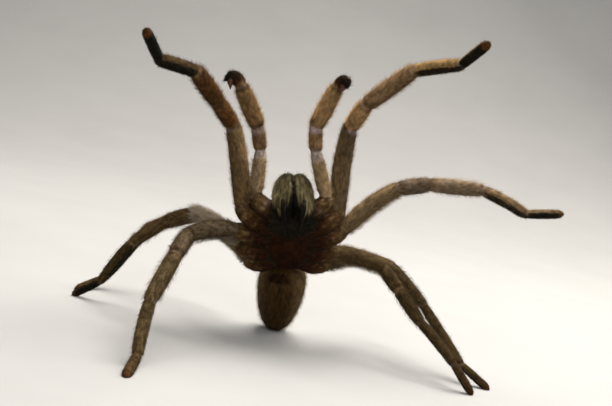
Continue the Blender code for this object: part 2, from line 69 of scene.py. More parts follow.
# Other ovals of the body: place, half sizes and the lie of their fur, in the body's frame
MASSES = [("trunk", (0, 1.2, 0.5), (7.3, 8.4, 2.0), (0, -1, 0)),
          ("sternum", (0, 0.4, -0.4), (5.2, 6.9, 2.75), (0, -1, -0.3)),
          ("web", (-6.6, 7.3, 0.3), (1.5, 1.7, 1.0), (-1, 0.6, 0)),
          ("web", (6.6, 7.3, 0.3), (1.5, 1.7, 1.0), (1, 0.6, 0)),
          ("lip", (0, 6.1, -1.7), (1.5, 1.3, 1.1), (0, 1, -0.5)),
          ("mound", (0, EYE_MOUND_AHEAD, EYE_MOUND_RISE - 0.1), (1.5, 1.0, 0.8), (0, -1, 0))]
ABDOMEN_AT, ABDOMEN_WAY, ABDOMEN_LENGTH = (-0.6, -8.5, 1.5), (86.0, -60.0), 15.4
ABDOMEN_RADII = [(-0.03, 4.2), (0.03, 4.95), (0.14, 5.25), (0.3, 5.25), (0.48, 5.0),
                 (0.66, 4.5), (0.82, 3.8), (0.94, 2.85), (1.0, 1.8)]
# Oval mark under the front of the abdomen
MARK_ASIDE, MARK_BELOW, MARK_DEPTH, MARK_HALF = 0.3, 3.1, 1.2, (2.2, 0.85)
SPINNERET_LENGTH, SPINNERET_SPREAD = 4.2, 24.0
SPINNERET_RADII = [(0, .6), (.3, .52), (.34, .42), (.4, .5), (.66, .46), (.7, .34), (.76, .4),
                   (1, .2)]
HIPS = {"palp": (6.9, 9.4, 0.0), 1: (9.3, 6.45, 0.0), 2: (10.0, 2.2, 0.0),
        3: (9.0, -2.0, 0.0), 4: (7.4, -5.4, 0.0)}
COXA_ANGLES = {"palp": 30.0, 1: 57.0, 2: 84.0, 3: 112.0, 4: 140.0}
COXA_DORSAL, KNUCKLE = -0.75, 0.6
COXA_RADII = [(0.0, 1.95), (0.3, 2.15), (0.54, 2.15), (0.62, 2.08), (0.68, 1.8), (0.72, 1.8),
              (0.77, 2.0), (0.9, 1.98), (0.96, 1.8), (1.0, 1.6)]
MAXILLA_SHARE, MAXILLA_BULGE = 0.92, 0.6
SEGMENTS = ["femur", "patella", "tibia", "metatarsus", "tarsus"]
LENGTHS = {"palp": (9.9, 5.0, 8.5), 1: (17.8, 7.3, 11.4, 10.8, 7.9),
           2: (14.3, 6.6, 10.3, 9.9, 7.5), 3: (12.4, 5.8, 8.3, 10.6, 6.9),
           4: (15.2, 6.3, 11.9, 14.2, 7.5)}
RADII = {"palp": (1.6, 1.6, 1.9), 1: (2.05, 1.88, 1.9, 1.5, 1.15),
         2: (1.85, 1.8, 1.72, 1.4, 1.12), 3: (1.8, 1.65, 1.55, 1.25, 1.0),
         4: (1.75, 1.6, 1.5, 1.25, 1.0)}
POSES = {
    ("right", 1): [(126, 58), (-129, 38), (-113, 27), (-121, 5), (-110, 36)],
    ("left", 1): [(102, 71), (-67, 46), (-28, 45), (-42, 15), (-60, 35)],
    ("right", 2): [(-126, -4), (-97, -24), (-105, -44), (-88, -66), (-92, None)],
    ("left", 2): [(7, 50), (10, 18), (-1, 6), (0, -17), (2, 12)],
    ("right", 3): [(164, 20), (-177, -28), (172, -44), (-178, -62), (171, None)],
    ("left", 3): [(28, -10), (-38, -34), (-37, -36), (-35, -31), (-14, None)],
    ("right", 4): [(119, 10), (164, 19), (180, -25), (-162, -60), (-130, None)],
    ("left", 4): [(56, 4), (-3, -8), (-50, -24), (-31, -40), (-12, None)],
    ("right", "palp"): [(105, 64), (-159, 71), (-146, 53)],
    ("left", "palp"): [(161, 64), (134, 72), (-12, 73)],
}
TOE_HEIGHT = 0.1
BOWS = {"femur": 0.05, "metatarsus": 0.03}
CYMBIUM_RUNS = {"right": [(-150, 56, 3.4), (-155, -52, 2.4)],
                "left": [(-45, 55, 3.3), (-70, -55, 2.4)]}
CYMBIUM_RADII = [(0.0, 1.4), (0.25, 1.55), (0.5, 1.55), (0.75, 1.4), (0.93, 1.1), (1.0, 0.7)]
BULB_RUN = [(0.0, 0.6), (0.15, 0.76), (0.35, 0.8), (0.55, 0.74), (0.7, 0.52), (0.82, 0.32),
            (0.92, 0.2), (1.0, 0.12)]
BULB_LENGTH, BULB_SINK, BULB_STATION = 3.0, 0.6, 3
BULB_WAYS = {"right": (-60, -75), "left": (175, -73)}

# Skin radius along each segment, a little drawn in at both ends, as shares of the solid's
PROFILES = {
    "femur": [(0, .80), (.03, .84), (.1, .90), (.3, 1.03), (.55, 1.03), (.8, .98), (.93, .95),
              (.98, .91), (1, .85)],
    "patella": [(0, .86), (.05, .91), (.16, .98), (.4, 1.03), (.75, 1.03), (.9, .99), (.97, .93),
                (1, .87)],
    "tibia": [(0, .86), (.02, .91), (.07, .98), (.4, 1.04), (.75, .99), (.93, .94),
              (.98, .90), (1, .84)],
    "metatarsus": [(0, .84), (.03, .90), (.1, .96), (.3, 1.0), (.7, .98), (.93, .92), (.98, .88),
                   (1, .84)],
    "tarsus": [(0, .86), (.04, .91), (.12, .96), (.35, 1.0), (.7, 1.0), (.88, .95), (.94, .84)],
}

# The way the back of each limb faces, in the world
BACKS = {("left", 1): (-0.6, 0.2, 0.8), ("right", 1): (0.6, 0.2, 0.8), ("left", 2): (0, 0.1, 1),
         ("right", 2): (-0.2, -1.0, 0.3), ("left", 3): (0.3, -0.4, 0.9),
         ("right", 3): (-0.2, -0.3, 0.9), ("left", 4): (0.2, -0.3, 0.9),
         ("right", 4): (-0.2, 0.3, 0.9)}
# Where the dark pad ends on metatarsus and tarsus, from -1 underneath to 1 on top. On the first
# right leg it reaches past the top, so the dark there is pad and painted shade
PAD_EDGES = {("left", 1): (-0.1, 0.66), ("right", 1): (0.55, 1.4), ("left", 2): (-0.15, 0.3),
             ("right", 2): (-0.9, -0.5), ("left", 3): (-0.5, -0.2), ("right", 3): (-0.2, 0.8),
             ("left", 4): (-0.5, -0.2), ("right", 4): (-0.4, 0.1)}
# Brightness and warmth of the segments, with warmth up to 1 towards tan and up to 2 towards rust.
# Brightness holds painted light and shade as well as the fur's own tone: painted light on lit
# segments such as the first left patella, painted shade on the first right leg's lower segments
SHADES = {
    ("left", 1): ((0.64, 0.2), (2.5, 0.8), (1.05, 0.9), (2.2, 0.4), (1.0, 0.1)),
    ("right", 1): ((0.68, 0.4), (0.6, 1.7), (0.52, 1.7), (0.42, 0.5), (0.25, 0.3)),
    ("left", 2): ((1.2, 0.2), (0.65, 0.3), (1.6, 0.2), (1.5, 0.3), (0.95, 0.3)),
    ("right", 2): ((0.6, 0.0), (0.8, 0.0), (0.95, 0.1), (0.92, 0.1), (0.5, 0.8)),
    ("left", 3): ((0.52, 0.3), (0.48, 0.3), (0.40, 0.3), (0.42, 0.3), (0.36, 0.3)),
    ("right", 3): ((1.1, 0.3), (0.5, 0.4), (0.62, 0.4), (0.42, 0.2), (0.3, 0.3)),
    ("left", 4): ((0.6, 0.3), (0.5, 0.3), (0.46, 0.3), (0.5, 0.3), (0.4, 0.3)),
    ("right", 4): ((0.7, 0.4), (0.6, 0.6), (0.5, 0.8), (0.5, 0.6), (0.4, 0.7)),
    ("left", "palp"): ((2.7, 0.2), (1.15, 1.3), (1.9, 0.9)),
    ("right", "palp"): ((1.45, 0.3), (0.95, 1.3), (1.2, 1.0)),
}
# Share of lilac grey over those segments
HAZE = {("left", 1): (0.05, 0.12, 0.1, 0.05, 0), ("left", 2): (0.15, 0.25, 0.4, 0.15, 0.1),
        ("right", 2): (0.12, 0.15, 0.08, 0.05, 0), ("left", "palp"): (0.3, 0.1, 0.05),
        ("right", "palp"): (0.2, 0.1, 0)}

# Relief of the skin: pitch of wrinkles, furrows of the carapace by angle and depth, pits of the
# sternum by place, and grooves of the hips by share of the coxa's length
WRINKLE = 0.62
FURROWS = {33: 0.36, 68: 0.24, 98: 0.24, 128: 0.24, 158: 0.24}
STERNUM_PITS = ((3.3, 3.4), (3.7, 0.3), (3.0, -2.9))
HIP_GROOVES = (0.70, 0.945)
# Angles of the rings that round a rod's ends, a direction that no rod follows, pulls of each
# point to the mean of its neighbours, and how far off a shape a point of the skin can lie
CAP_ANGLES = (25, 50, 75)
OFF_AXIS = (0.31, 0.17, 0.93)
SMOOTHING = (0.55, -0.57) * 3
NEAR = 1.2

# Colours, linear
OLIVE = np.array((0.088, 0.058, 0.020))
TAN = np.array((0.165, 0.093, 0.037))
RUST = np.array((0.150, 0.056, 0.010))
PALE = np.array((0.330, 0.232, 0.120))
GOLD = np.array((0.270, 0.178, 0.080))
LILAC = np.array((0.215, 0.170, 0.145))
BLACK = np.array((0.008, 0.007, 0.004))
BROWN = np.array((0.058, 0.022, 0.005))
# MAROON and BELLY, tones of the underside, are darker than its fur alone: they hold painted shade
# of the underside too
MAROON = np.array((0.014, 0.003, 0.001))
SILVER = np.array((0.330, 0.300, 0.250))
GREY = np.array((0.118, 0.104, 0.056))
BELLY = np.array((0.044, 0.019, 0.004))
BLACK_HORN = ((0.0015, 0.001, 0.0006), (0.006, 0.003, 0.0015))
RED_HORN = ((0.012, 0.004, 0.002), (0.085, 0.028, 0.012))
LENS = ((0.003, 0.003, 0.004), (0.020, 0.018, 0.018))
PAPER = ((0.33, 0.318, 0.300), (0.37, 0.357, 0.338))

# The coat: triangles of a short and a long tuft, their shades at root and tip, their shape, how
# deep they stand in the skin, and most triangles in a piece
TUFT_TRIANGLES = (3, 9)
TUFT_SHADES = ((0.75, 1.2), (0.9, 1.25))
TUFT_WIDE, TUFT_THICK, TUFT_SINK = 1.35, 0.7, 0.08
LARGE_COAT, SMALL_COAT = 195000, 112000
# On the unwrap: margin in the cell of a shape, and size of a tuft's patch
CELL_INSET, PATCH_SIZE = 0.03, 0.003

# The studio, in metres: name, place, size, strength and colour of lamps, then camera and backdrop
LAMPS = [("key", (0.03, 0.07, 0.36), 0.26, 2.9, (1.0, 0.98, 0.95)),
         ("rim", (0.24, 0.16, 0.20), 0.20, 0.8, (1.0, 0.97, 0.92)),
         ("fill", (0.05, -0.40, 0.26), 0.40, 1.3, (0.98, 0.98, 1.0))]
LIT_PLACE = np.array((0.0, 0.005, 0.028))
CAMERA_AT, CAMERA_LENS = (-0.003135, -0.187187, 0.056373), 59.49
CAMERA_RIGHT, CAMERA_FORWARD = (0.9783, 0.0282, 0.2054), (0.0, 0.9907, -0.1360)
BACKDROP_BEND, BACKDROP_RADIUS, BACKDROP_SIDE, BACKDROP_HEIGHT = 0.2, 0.34, 0.9, 1.4


def unit(v):
    """Vectors brought to length one, along the last axis."""
    return v / np.maximum(np.linalg.norm(v, axis=-1, keepdims=True), 1e-12)


def rotation(degrees, axis):
    """Matrix of a turn about an axis."""
    return np.array(Matrix.Rotation(math.radians(degrees), 3, axis))


ATTITUDE = rotation(TURN, "Z") @ rotation(LEAN, "Y") @ rotation(-REAR_UP, "X")


def heading(azimuth, slope):
    """Direction in the world, from angles in degrees."""
    turn, rise = math.radians(azimuth), math.radians(slope)
    return np.array((math.cos(rise) * math.cos(turn), math.cos(rise) * math.sin(turn),
                     math.sin(rise)))


def body_vector(side, ahead, dorsal):
    """Direction in the world, from the body's own."""
    return ATTITUDE @ np.array((side, -ahead, dorsal))


def body_point(side, ahead, dorsal):
    """Place in the world, from the body's own."""
    return BODY_AT + body_vector(side, ahead, dorsal)


def body_frame(points):
    """(side, ahead, dorsal) of points in the world."""
    local = (points - BODY_AT) @ ATTITUDE
    return local * (1, -1, 1)


BODY_UP = body_vector(0, 0, 1)
ABDOMEN_ROOT, ABDOMEN_AXIS = body_point(*ABDOMEN_AT), heading(*ABDOMEN_WAY)
ABDOMEN_BACK = heading(ABDOMEN_WAY[0], ABDOMEN_WAY[1] + 90)


def sided(side, place):
    """Place on the left of the body, or its mirror image on the right."""
    return (place[0] if side == "left" else -place[0], place[1], place[2])


def mix(a, b, share):
    """Colour between a and b, one for each share."""
    share = np.clip(share, 0, 1)
    return a + (b - a) * (share[:, None] if np.ndim(share) else share)


def layered(colour, *layers):
    """Colour with other tones laid over it in turn, each by its share."""
    for tone, share in layers:
        colour = mix(colour, tone, share)
    return colour


def step(low, high, value):
    """Smooth rise from 0 at low to 1 at high."""
    t = np.clip((value - low) / (high - low), 0, 1)
    return t * t * (3 - 2 * t)


def bell(value, width):
    """Smooth bump, 1 where value is 0."""
    return np.exp(-(value / width) ** 2)


def power(value, exponent):
    """Power of the size of value, with its sign kept."""
    return np.sign(value) * np.abs(value) ** exponent


def curved(start, control, end, t):
    """Point at t along a smooth bend from start to end, drawn towards control."""
    first, second = start + (control - start) * t, control + (end - control) * t
    return first + (second - first) * t


def joined(parts):
    """Points and faces of several parts put together."""
    points, faces, start = [], [], 0
    for part_points, part_faces in parts:
        points.append(part_points)
        faces += [tuple(start + i for i in face) for face in part_faces]
        start += len(part_points)
    return np.concatenate(points), faces


def noise(points, size, seed):
    """Smooth value noise from 0 to 1 at points, with features about size across."""
    q = points / size + seed * 17.31
    cell = np.floor(q).astype(np.int64)
    f = q - cell
    f = f * f * (3 - 2 * f)
    total = np.zeros(len(points))
    for corner in range(8):
        shift = np.array([(corner >> k) & 1 for k in range(3)])
        i = cell + shift
        key = (i[:, 0] * 73856093) ^ (i[:, 1] * 19349663) ^ (i[:, 2] * 83492791) ^ (seed * 9176)
        key = (key ^ (key >> 13)) * 1274126177 & 0x7FFFFFFF
        value = ((key ^ (key >> 11)) & 0xFFFF) / 65535.0
        total += value * np.prod(np.where(shift, f, 1 - f), axis=1)
    return total


class Rod:
    """Round length of the body: its path, its radii and the way its back faces."""

    def __init__(self, kind, points, radii, dorsal, side="", number="", cap=1.0):
        self.kind, self.side, self.number, self.cap = kind, side, number, cap
        self.points, self.radii = np.array(points, float), np.array(radii, float)
        self.dorsal = np.array(dorsal, float)
        self.marks = np.concatenate(
            [[0], np.cumsum(np.linalg.norm(np.diff(self.points, axis=0), axis=1))])
        self.length = self.marks[-1]

    def locate(self, p):
        """Height over the surface, place along, and the outward and onward directions."""
        count = len(p)
        height = np.full(count, 1e9)
        along = np.zeros(count)
        out = np.zeros((count, 3))
        onward = np.zeros((count, 3))
        for i in range(len(self.points) - 1):
            a, run = self.points[i], self.points[i + 1] - self.points[i]
            length = np.linalg.norm(run)
            t = np.clip((p - a) @ run / length ** 2, 0, 1)
            away = p - a - t[:, None] * run
            far = np.linalg.norm(away, axis=1)
            gap = far - (self.radii[i] + (self.radii[i + 1] - self.radii[i]) * t)
            better = gap < height
            height[better] = gap[better]
            along[better] = (self.marks[i] + t * length)[better]
            out[better] = (away / np.maximum(far, 1e-9)[:, None])[better]
            onward[better] = run / length
        return height, along, out, onward

    def box(self, spare):
        """Corners of a box round the rod."""
        reach = self.radii.max() + spare
        return self.points.min(0) - reach, self.points.max(0) + reach

    def mesh(self, sides=20, pace=0.45):
        """Closed tube with round ends, as points and faces."""
        count = max(int(self.length / pace), 4)
        s = np.linspace(0, self.length, count + 1)
        path = np.stack([np.interp(s, self.marks, self.points[:, k]) for k in range(3)], 1)
        radius = np.interp(s, self.marks, self.radii)
        for _ in range(2):
            path[1:-1] = (path[:-2] + 2 * path[1:-1] + path[2:]) / 4
            radius[1:-1] = (radius[:-2] + 2 * radius[1:-1] + radius[2:]) / 4
        way = unit(np.gradient(path, axis=0))
        rings = list(zip(path, radius, way))
        for angle in CAP_ANGLES:
            share, reach = math.cos(math.radians(angle)), math.sin(math.radians(angle))
            first = path[0] - way[0] * radius[0] * reach * self.cap
            last = path[-1] + way[-1] * radius[-1] * reach * self.cap
            rings = [(first, radius[0] * share, way[0]), *rings,
                     (last, radius[-1] * share, way[-1])]
        across = unit(np.cross(way[0], OFF_AXIS))
        turn = np.arange(sides)[:, None] * 2 * math.pi / sides
        points = []
        for centre, size, along in rings:
            across = unit(across - along * (across @ along))
            other = np.cross(along, across)
            points.append(centre + size * (np.cos(turn) * across + np.sin(turn) * other))
        points = np.concatenate(points)
        faces = []
        for low in range(0, len(points) - sides, sides):
            for k in range(sides):
                n = (k + 1) % sides
                faces.append((low + k, low + n, low + sides + n, low + sides + k))
        faces.append(tuple(range(sides - 1, -1, -1)))
        faces.append(tuple(range(len(points) - sides, len(points))))
        return points, faces


class Oval:
    """Rounded mass of the body: centre, half sizes, attitude and an optional reshaping."""

    def __init__(self, kind, centre, size, turn=ATTITUDE, lie=(0, -1, 0), shape=None, side=""):
        self.kind, self.side, self.number = kind, side, ""
        self.centre, self.size, self.turn = np.array(centre, float), np.array(size, float), turn
        self.lie, self.shape, self.length, self.dorsal = body_vector(*lie), shape, 1.0, BODY_UP

    def locate(self, p):
        """Height over the surface, place round it, and the outward and onward directions."""
        q = (p - self.centre) @ self.turn / self.size
        height = (np.linalg.norm(q, axis=1) - 1) * self.size.min()
        out = unit((q / self.size) @ self.turn.T)
        longitude = np.arctan2(q[:, 0], -q[:, 1]) / (2 * math.pi) + 0.5
        return height, longitude, out, np.broadcast_to(unit(self.lie), p.shape)

    def box(self, spare):
        """Corners of a box round the oval."""
        reach = self.size.max() + spare
        return self.centre - reach, self.centre + reach

    def mesh(self, segments=48, rings=28):
        """Closed ball, reshaped, as points and faces."""
        points = [(0.0, 0.0, -1.0)]
        for ring in range(1, rings):
            rise = math.pi * ring / rings - math.pi / 2
            for k in range(segments):
                turn = 2 * math.pi * k / segments
                points.append((math.cos(rise) * math.cos(turn), math.cos(rise) * math.sin(turn),
                               math.sin(rise)))
        points = np.array(points + [(0.0, 0.0, 1.0)])
        if self.shape:
            points = self.shape(points)
        points = (points * self.size) @ self.turn.T + self.centre
        faces = []
        last = len(points) - 1
        for k in range(segments):
            n = (k + 1) % segments
            faces.append((0, 1 + n, 1 + k))
            faces.append((last, last - segments + k, last - segments + n))
            for low in range(1, last - segments, segments):
                faces.append((low + k, low + n, low + segments + n, low + segments + k))
        return points, faces


def carapace_shape(q):
    """Unit sphere to a carapace: squarer in plan, narrower at the head, flat below."""
    plan = np.hypot(q[:, 0], q[:, 1])
    safe = np.maximum(plan, 1e-6)
    reach = plan ** 0.85
    across, ahead = power(q[:, 0] / safe, 0.82) * reach, power(-q[:, 1] / safe, 0.82) * reach
    headward = np.clip((ahead + 0.1) / 0.9, 0, 1)
    across = across * (1 - HEAD_NARROWING * headward ** 1.5)
    rise = q[:, 2] * (0.86 + 0.24 * headward)
    rise = np.where(rise < 0, rise * 0.3, rise)
    front = (HEAD_FRONT - CARAPACE_AHEAD) / (CARAPACE_LENGTH / 2)
    return np.stack([across, -np.minimum(ahead, front), rise], 1)


def jaw_shape(side):
    """Unit sphere to one jaw: squarer, flat along the slit, its top drawn to the slit."""
    outward = 1 if side == "left" else -1

    def shaped(q):
        aside = q[:, 0] * outward
        aside = power(aside, np.where(aside > 0, 0.9, 0.32))
        back, dorsal = power(q[:, 1], 0.8), power(q[:, 2], 0.8)
        aside = (aside + 1) * (1 - 0.62 * np.maximum(-back, 0) ** 1.2) - 1
        return np.stack([aside * outward, back, dorsal], 1)
    return shaped


def coxa_line(side, number):
    """Inner end, knuckle and outer end of a coxa, in the body's frame."""
    angle = math.radians(COXA_ANGLES[number])
    start = np.array(sided(side, (STERNUM_WIDTH / 2 * math.sin(angle),
                                  0.2 + STERNUM_LENGTH / 2 * math.cos(angle), COXA_DORSAL)))
    end = np.array(sided(side, HIPS[number]))
    knuckle = start + (end - start) * KNUCKLE
    knuckle[2] = COXA_DORSAL
    if number == "palp":
        knuckle[1] += MAXILLA_BULGE
    return start, knuckle, end


def limb_joints(side, number):
    """Joints of a leg or palp in the world, from the hip on."""
    joints = [body_point(*sided(side, HIPS[number]))]
    for (azimuth, slope), length in zip(POSES[(side, number)], LENGTHS[number]):
        if slope is None:
            slope = math.degrees(math.asin((TOE_HEIGHT - joints[-1][2]) / length))
        joints.append(joints[-1] + heading(azimuth, slope) * length)
    return joints


def palp_tip(side):
    """Ends and bend of the palp's hood, and where its bulb starts and points."""
    tip = limb_joints(side, "palp")[-1]
    runs = [heading(azimuth, slope) * length for azimuth, slope, length in CYMBIUM_RUNS[side]]
    bend = tip + runs[0]
    end = bend + runs[1]
    way = heading(*BULB_WAYS[side])
    root = curved(tip, bend, end, CYMBIUM_RADII[BULB_STATION][0]) - way * BULB_SINK
    return (tip, bend, end), root, way


def segment(kind, start, end, radius, dorsal, side, number, knee):
    """Rod of one segment, bowed towards the knee."""
    profile = PROFILES[kind]
    bow = 0.0 if number == "palp" else BOWS.get(kind, 0.0)
    along = unit(end - start)
    rise = unit(knee - along * (knee @ along))
    length = np.linalg.norm(end - start)
    points = [start + (end - start) * t + rise * bow * length * 4 * t * (1 - t)
              for t, _ in profile]
    radii = [radius * share - COAT.get(kind, COAT_ELSEWHERE) for _, share in profile]
    return Rod(kind, points, radii, dorsal, side, number, 0.7 if kind == "tarsus" else 1.0)


def limb(side, number):
    """Rods of one leg or palp, from coxa to tarsus."""
    palp = number == "palp"
    joints = limb_joints(side, number)
    knee = unit(joints[1] - (joints[0] + joints[-1]) / 2)
    dorsal = unit(BODY_UP + 0.3 * knee if palp else np.array(BACKS[(side, number)], float))
    start, knuckle, end = coxa_line(side, number)
    points, radii = [], []
    for t, radius in COXA_RADII:
        place = start + (knuckle - start) * t / KNUCKLE if t <= KNUCKLE else (
            knuckle + (end - knuckle) * (t - KNUCKLE) / (1 - KNUCKLE))
        points.append(body_point(*place))
        radii.append(radius * (MAXILLA_SHARE if palp else 1.0) - COXA_COAT)
    rods = [Rod("maxilla" if palp else "coxa", points, radii, BODY_UP, side, number)]
    for kind, radius, a, b in zip(SEGMENTS, RADII[number], joints, joints[1:]):
        rods.append(segment(kind, a, b, radius, dorsal, side, number, knee))
    if palp:
        bends, root, way = palp_tip(side)
        path = [curved(*bends, t) for t, _ in CYMBIUM_RADII]
        radii = [1.1] + [radius - COAT["metatarsus"] for _, radius in CYMBIUM_RADII[1:]]
        rods.append(Rod("cymbium", path, radii, dorsal, side, number))
        rods.append(Rod("membrane", [root + way * 0.2, root + way * 1.15], [0.7, 0.62], dorsal,
                        side, number))
    return rods


def shapes():
    """Everything that the skin is drawn over."""
    size = np.array((CARAPACE_WIDTH / 2, CARAPACE_LENGTH / 2, CARAPACE_HEIGHT)) - CARAPACE_COAT
    found = [Oval("carapace", body_point(0, CARAPACE_AHEAD, CARAPACE_FLOOR), size,
                  shape=carapace_shape)]
    found += [Oval(kind, body_point(*place), half, lie=lie) for kind, place, half, lie in MASSES]
    turn = ATTITUDE @ rotation(JAW["tilt"], "X")
    for side in ("left", "right"):
        aside, ahead, dorsal = sided(side, (JAW["aside"], JAW["ahead"], JAW["dorsal"]))
        found.append(Oval("jaw", body_point(aside + JAW["swing"], ahead, dorsal),
                          np.array(JAW["half"]) - JAW["coat"], turn, JAW["lie"],
                          jaw_shape(side), side))
    # dark filler between the tops of the jaws, painted black along the slit as painted shade
    found.append(Oval("jaw", body_point(JAW["swing"], *JAW["slit_shade"]), JAW["bridge half"], turn,
                      JAW["lie"]))
    front, axis, back = ABDOMEN_ROOT, ABDOMEN_AXIS, ABDOMEN_BACK
    found.append(Rod("abdomen", [front + axis * ABDOMEN_LENGTH * t for t, _ in ABDOMEN_RADII],
                     [r - ABDOMEN_COAT for _, r in ABDOMEN_RADII], back, cap=0.35))
    found.append(Rod("pedicel", [body_point(0, STERNUM_REAR + 1.5, 0.0),
                                 body_point(0, ABDOMEN_FRONT - 1.5, 0.0)], [1.0, 1.0], BODY_UP))
    share, width = ABDOMEN_RADII[-2]
    rear = front + axis * ABDOMEN_LENGTH * share
    ts = np.linspace(0, 1, 7)
    radii = np.interp(ts, *np.transpose(SPINNERET_RADII))
    for side, sign in (("left", 1), ("right", -1)):
        way = rotation(sign * SPINNERET_SPREAD, axis.tolist()) @ back
        start = rear + way * (width - 0.6)
        bend = rear + way * (width + 0.48 + SPINNERET_LENGTH * 0.4)
        end = bend + unit(way + axis) * SPINNERET_LENGTH * 0.6
        found.append(Rod("spinneret", [curved(start, bend, end, t) for t in ts], radii, back,
                         side))
    for side in ("left", "right"):
        for number in ("palp", 1, 2, 3, 4):
            found += limb(side, number)
    return found


def shade(shape):
    """Brightness, warmth and haze of the fur over a shape; the brightness holds painted light and
    shade as well as tone.
    """
    if shape.kind not in SEGMENTS:
        return 1.0, 0.3, 0.0
    limb_of, place = (shape.side, shape.number), SEGMENTS.index(shape.kind)
    return (*SHADES[limb_of][place], HAZE.get(limb_of, (0,) * 5)[place])


SHAPES = shapes()
KINDS = sorted({s.kind for s in SHAPES})


def belly_mark(spots):
    """Distance from the middle of the oval mark under the front of the abdomen, 1 at its rim."""
    local = spots.p - ABDOMEN_ROOT
    across, down = local @ np.cross(ABDOMEN_AXIS, -ABDOMEN_BACK), local @ -ABDOMEN_BACK
    rim = np.hypot((across - MARK_ASIDE) / MARK_HALF[0], (down - MARK_BELOW) / MARK_HALF[1])
    return rim + step(MARK_DEPTH, MARK_DEPTH + 1.5, local @ ABDOMEN_AXIS)


class Spots:
    """Where points of the skin lie on the body."""

    def __init__(self, p):
        count = len(p)
        self.p = p
        height, second = np.full((2, count), 1e9)
        self.shape, self.along = np.zeros(count, int), np.zeros(count)
        self.out, self.onward = np.zeros((count, 3)), np.zeros((count, 3))
        for index, shape in enumerate(SHAPES):
            low, high = shape.box(NEAR)
            near = np.nonzero(np.all((p > low) & (p < high), axis=1))[0]
            if not len(near):
                continue
            h, s, out, onward = shape.locate(p[near])
            better = h < height[near]
            second[near] = np.where(better, height[near], np.minimum(second[near], h))
            chosen = near[better]
            height[chosen] = h[better]
            self.shape[chosen] = index
            self.along[chosen] = s[better]
            self.out[chosen] = out[better]
            self.onward[chosen] = onward[better]
        self.crease = second - height
        self.body = body_frame(p)
        self.kind = self.each(lambda s: KINDS.index(s.kind))
        self.length = self.each(lambda s: s.length)
        self.share = self.along / self.length
        dorsal = self.each(lambda s: s.dorsal)
        self.dorsal = unit(dorsal - self.onward * np.sum(dorsal * self.onward, 1)[:, None])
        self.up = np.sum(self.out * self.dorsal, 1)
        self.aside = np.sum(self.out * np.cross(self.onward, self.dorsal), 1)
        self.number = self.each(lambda s: s.number if s.number in (1, 2, 3, 4) else 0)
        self.palp = self.each(lambda s: s.number == "palp")
        self.left = self.each(lambda s: s.side == "left")
        self.oval = self.each(lambda s: isinstance(s, Oval))
        # Brightness of each point's segment, which holds its painted light and shade as well as
        # its tone
        self.bright, self.warm, self.haze = self.each(shade).T

    def each(self, value):
        """Value of the shape that each point lies on."""
        return np.array([value(s) for s in SHAPES])[self.shape]

    def of(self, *kinds):
        """Whether each point lies on a shape of these kinds."""
        return np.isin(self.kind, [KINDS.index(k) for k in kinds])


def new_mesh(name, points, faces):
    """Mesh of these points and faces."""
    mesh = bpy.data.meshes.new(name)
    mesh.from_pydata([tuple(p) for p in points], [], faces)
    mesh.update()
    return mesh


def remeshed(points, faces):
    """Mesh of one closed surface round overlapping closed shapes."""
    thing = bpy.data.objects.new("core", new_mesh("core", points, faces))
    bpy.context.scene.collection.objects.link(thing)
    grid = thing.modifiers.new("grid", "REMESH")
    grid.mode = "VOXEL"
    grid.voxel_size = VOXEL
    seen = thing.evaluated_get(bpy.context.evaluated_depsgraph_get())
    mesh = bpy.data.meshes.new_from_object(seen)
    bpy.data.objects.remove(thing)
    return mesh


def smoothed(mesh):
    """Even out the steps of the grid without shrinking the form. Gives the points."""
    count = len(mesh.vertices)
    p = np.empty(count * 3)
    mesh.vertices.foreach_get("co", p)
    p = p.reshape(-1, 3)
    edges = np.empty(len(mesh.edges) * 2, int)
    mesh.edges.foreach_get("vertices", edges)
    a, b = edges.reshape(-1, 2).T
    degree = np.bincount(a, minlength=count) + np.bincount(b, minlength=count)
    for pull in SMOOTHING:
        total = np.stack([np.bincount(a, p[b, k], count) + np.bincount(b, p[a, k], count)
                          for k in range(3)], 1)
        p = p + pull * (total / degree[:, None] - p)
    mesh.vertices.foreach_set("co", p.ravel())
    mesh.update()
    return p


def normals(mesh):
    """Normals of a mesh at its points."""
    n = np.empty(len(mesh.vertices) * 3)
    mesh.vertex_normals.foreach_get("vector", n)
    return n.reshape(-1, 3)


def joint_ring(spots):
    """Distance in millimetres to the nearer end of a segment."""
    return np.minimum(spots.along, spots.length - spots.along)


def wrinkles(spots):
    """Fine rings round a limb, from -1 to 1."""
    return np.sin(spots.along * 2 * math.pi / WRINKLE + 2.5 * noise(spots.p, 2.0, 3))


def mouth(spots):
    """Distance from the mouth, 1 at the rim of the dark round it, which is dark hair and painted
    shade.
    """
    return np.hypot((spots.body[:, 0] - JAW["swing"]) / 5.4, (spots.body[:, 1] - 6.2) / 4.0)


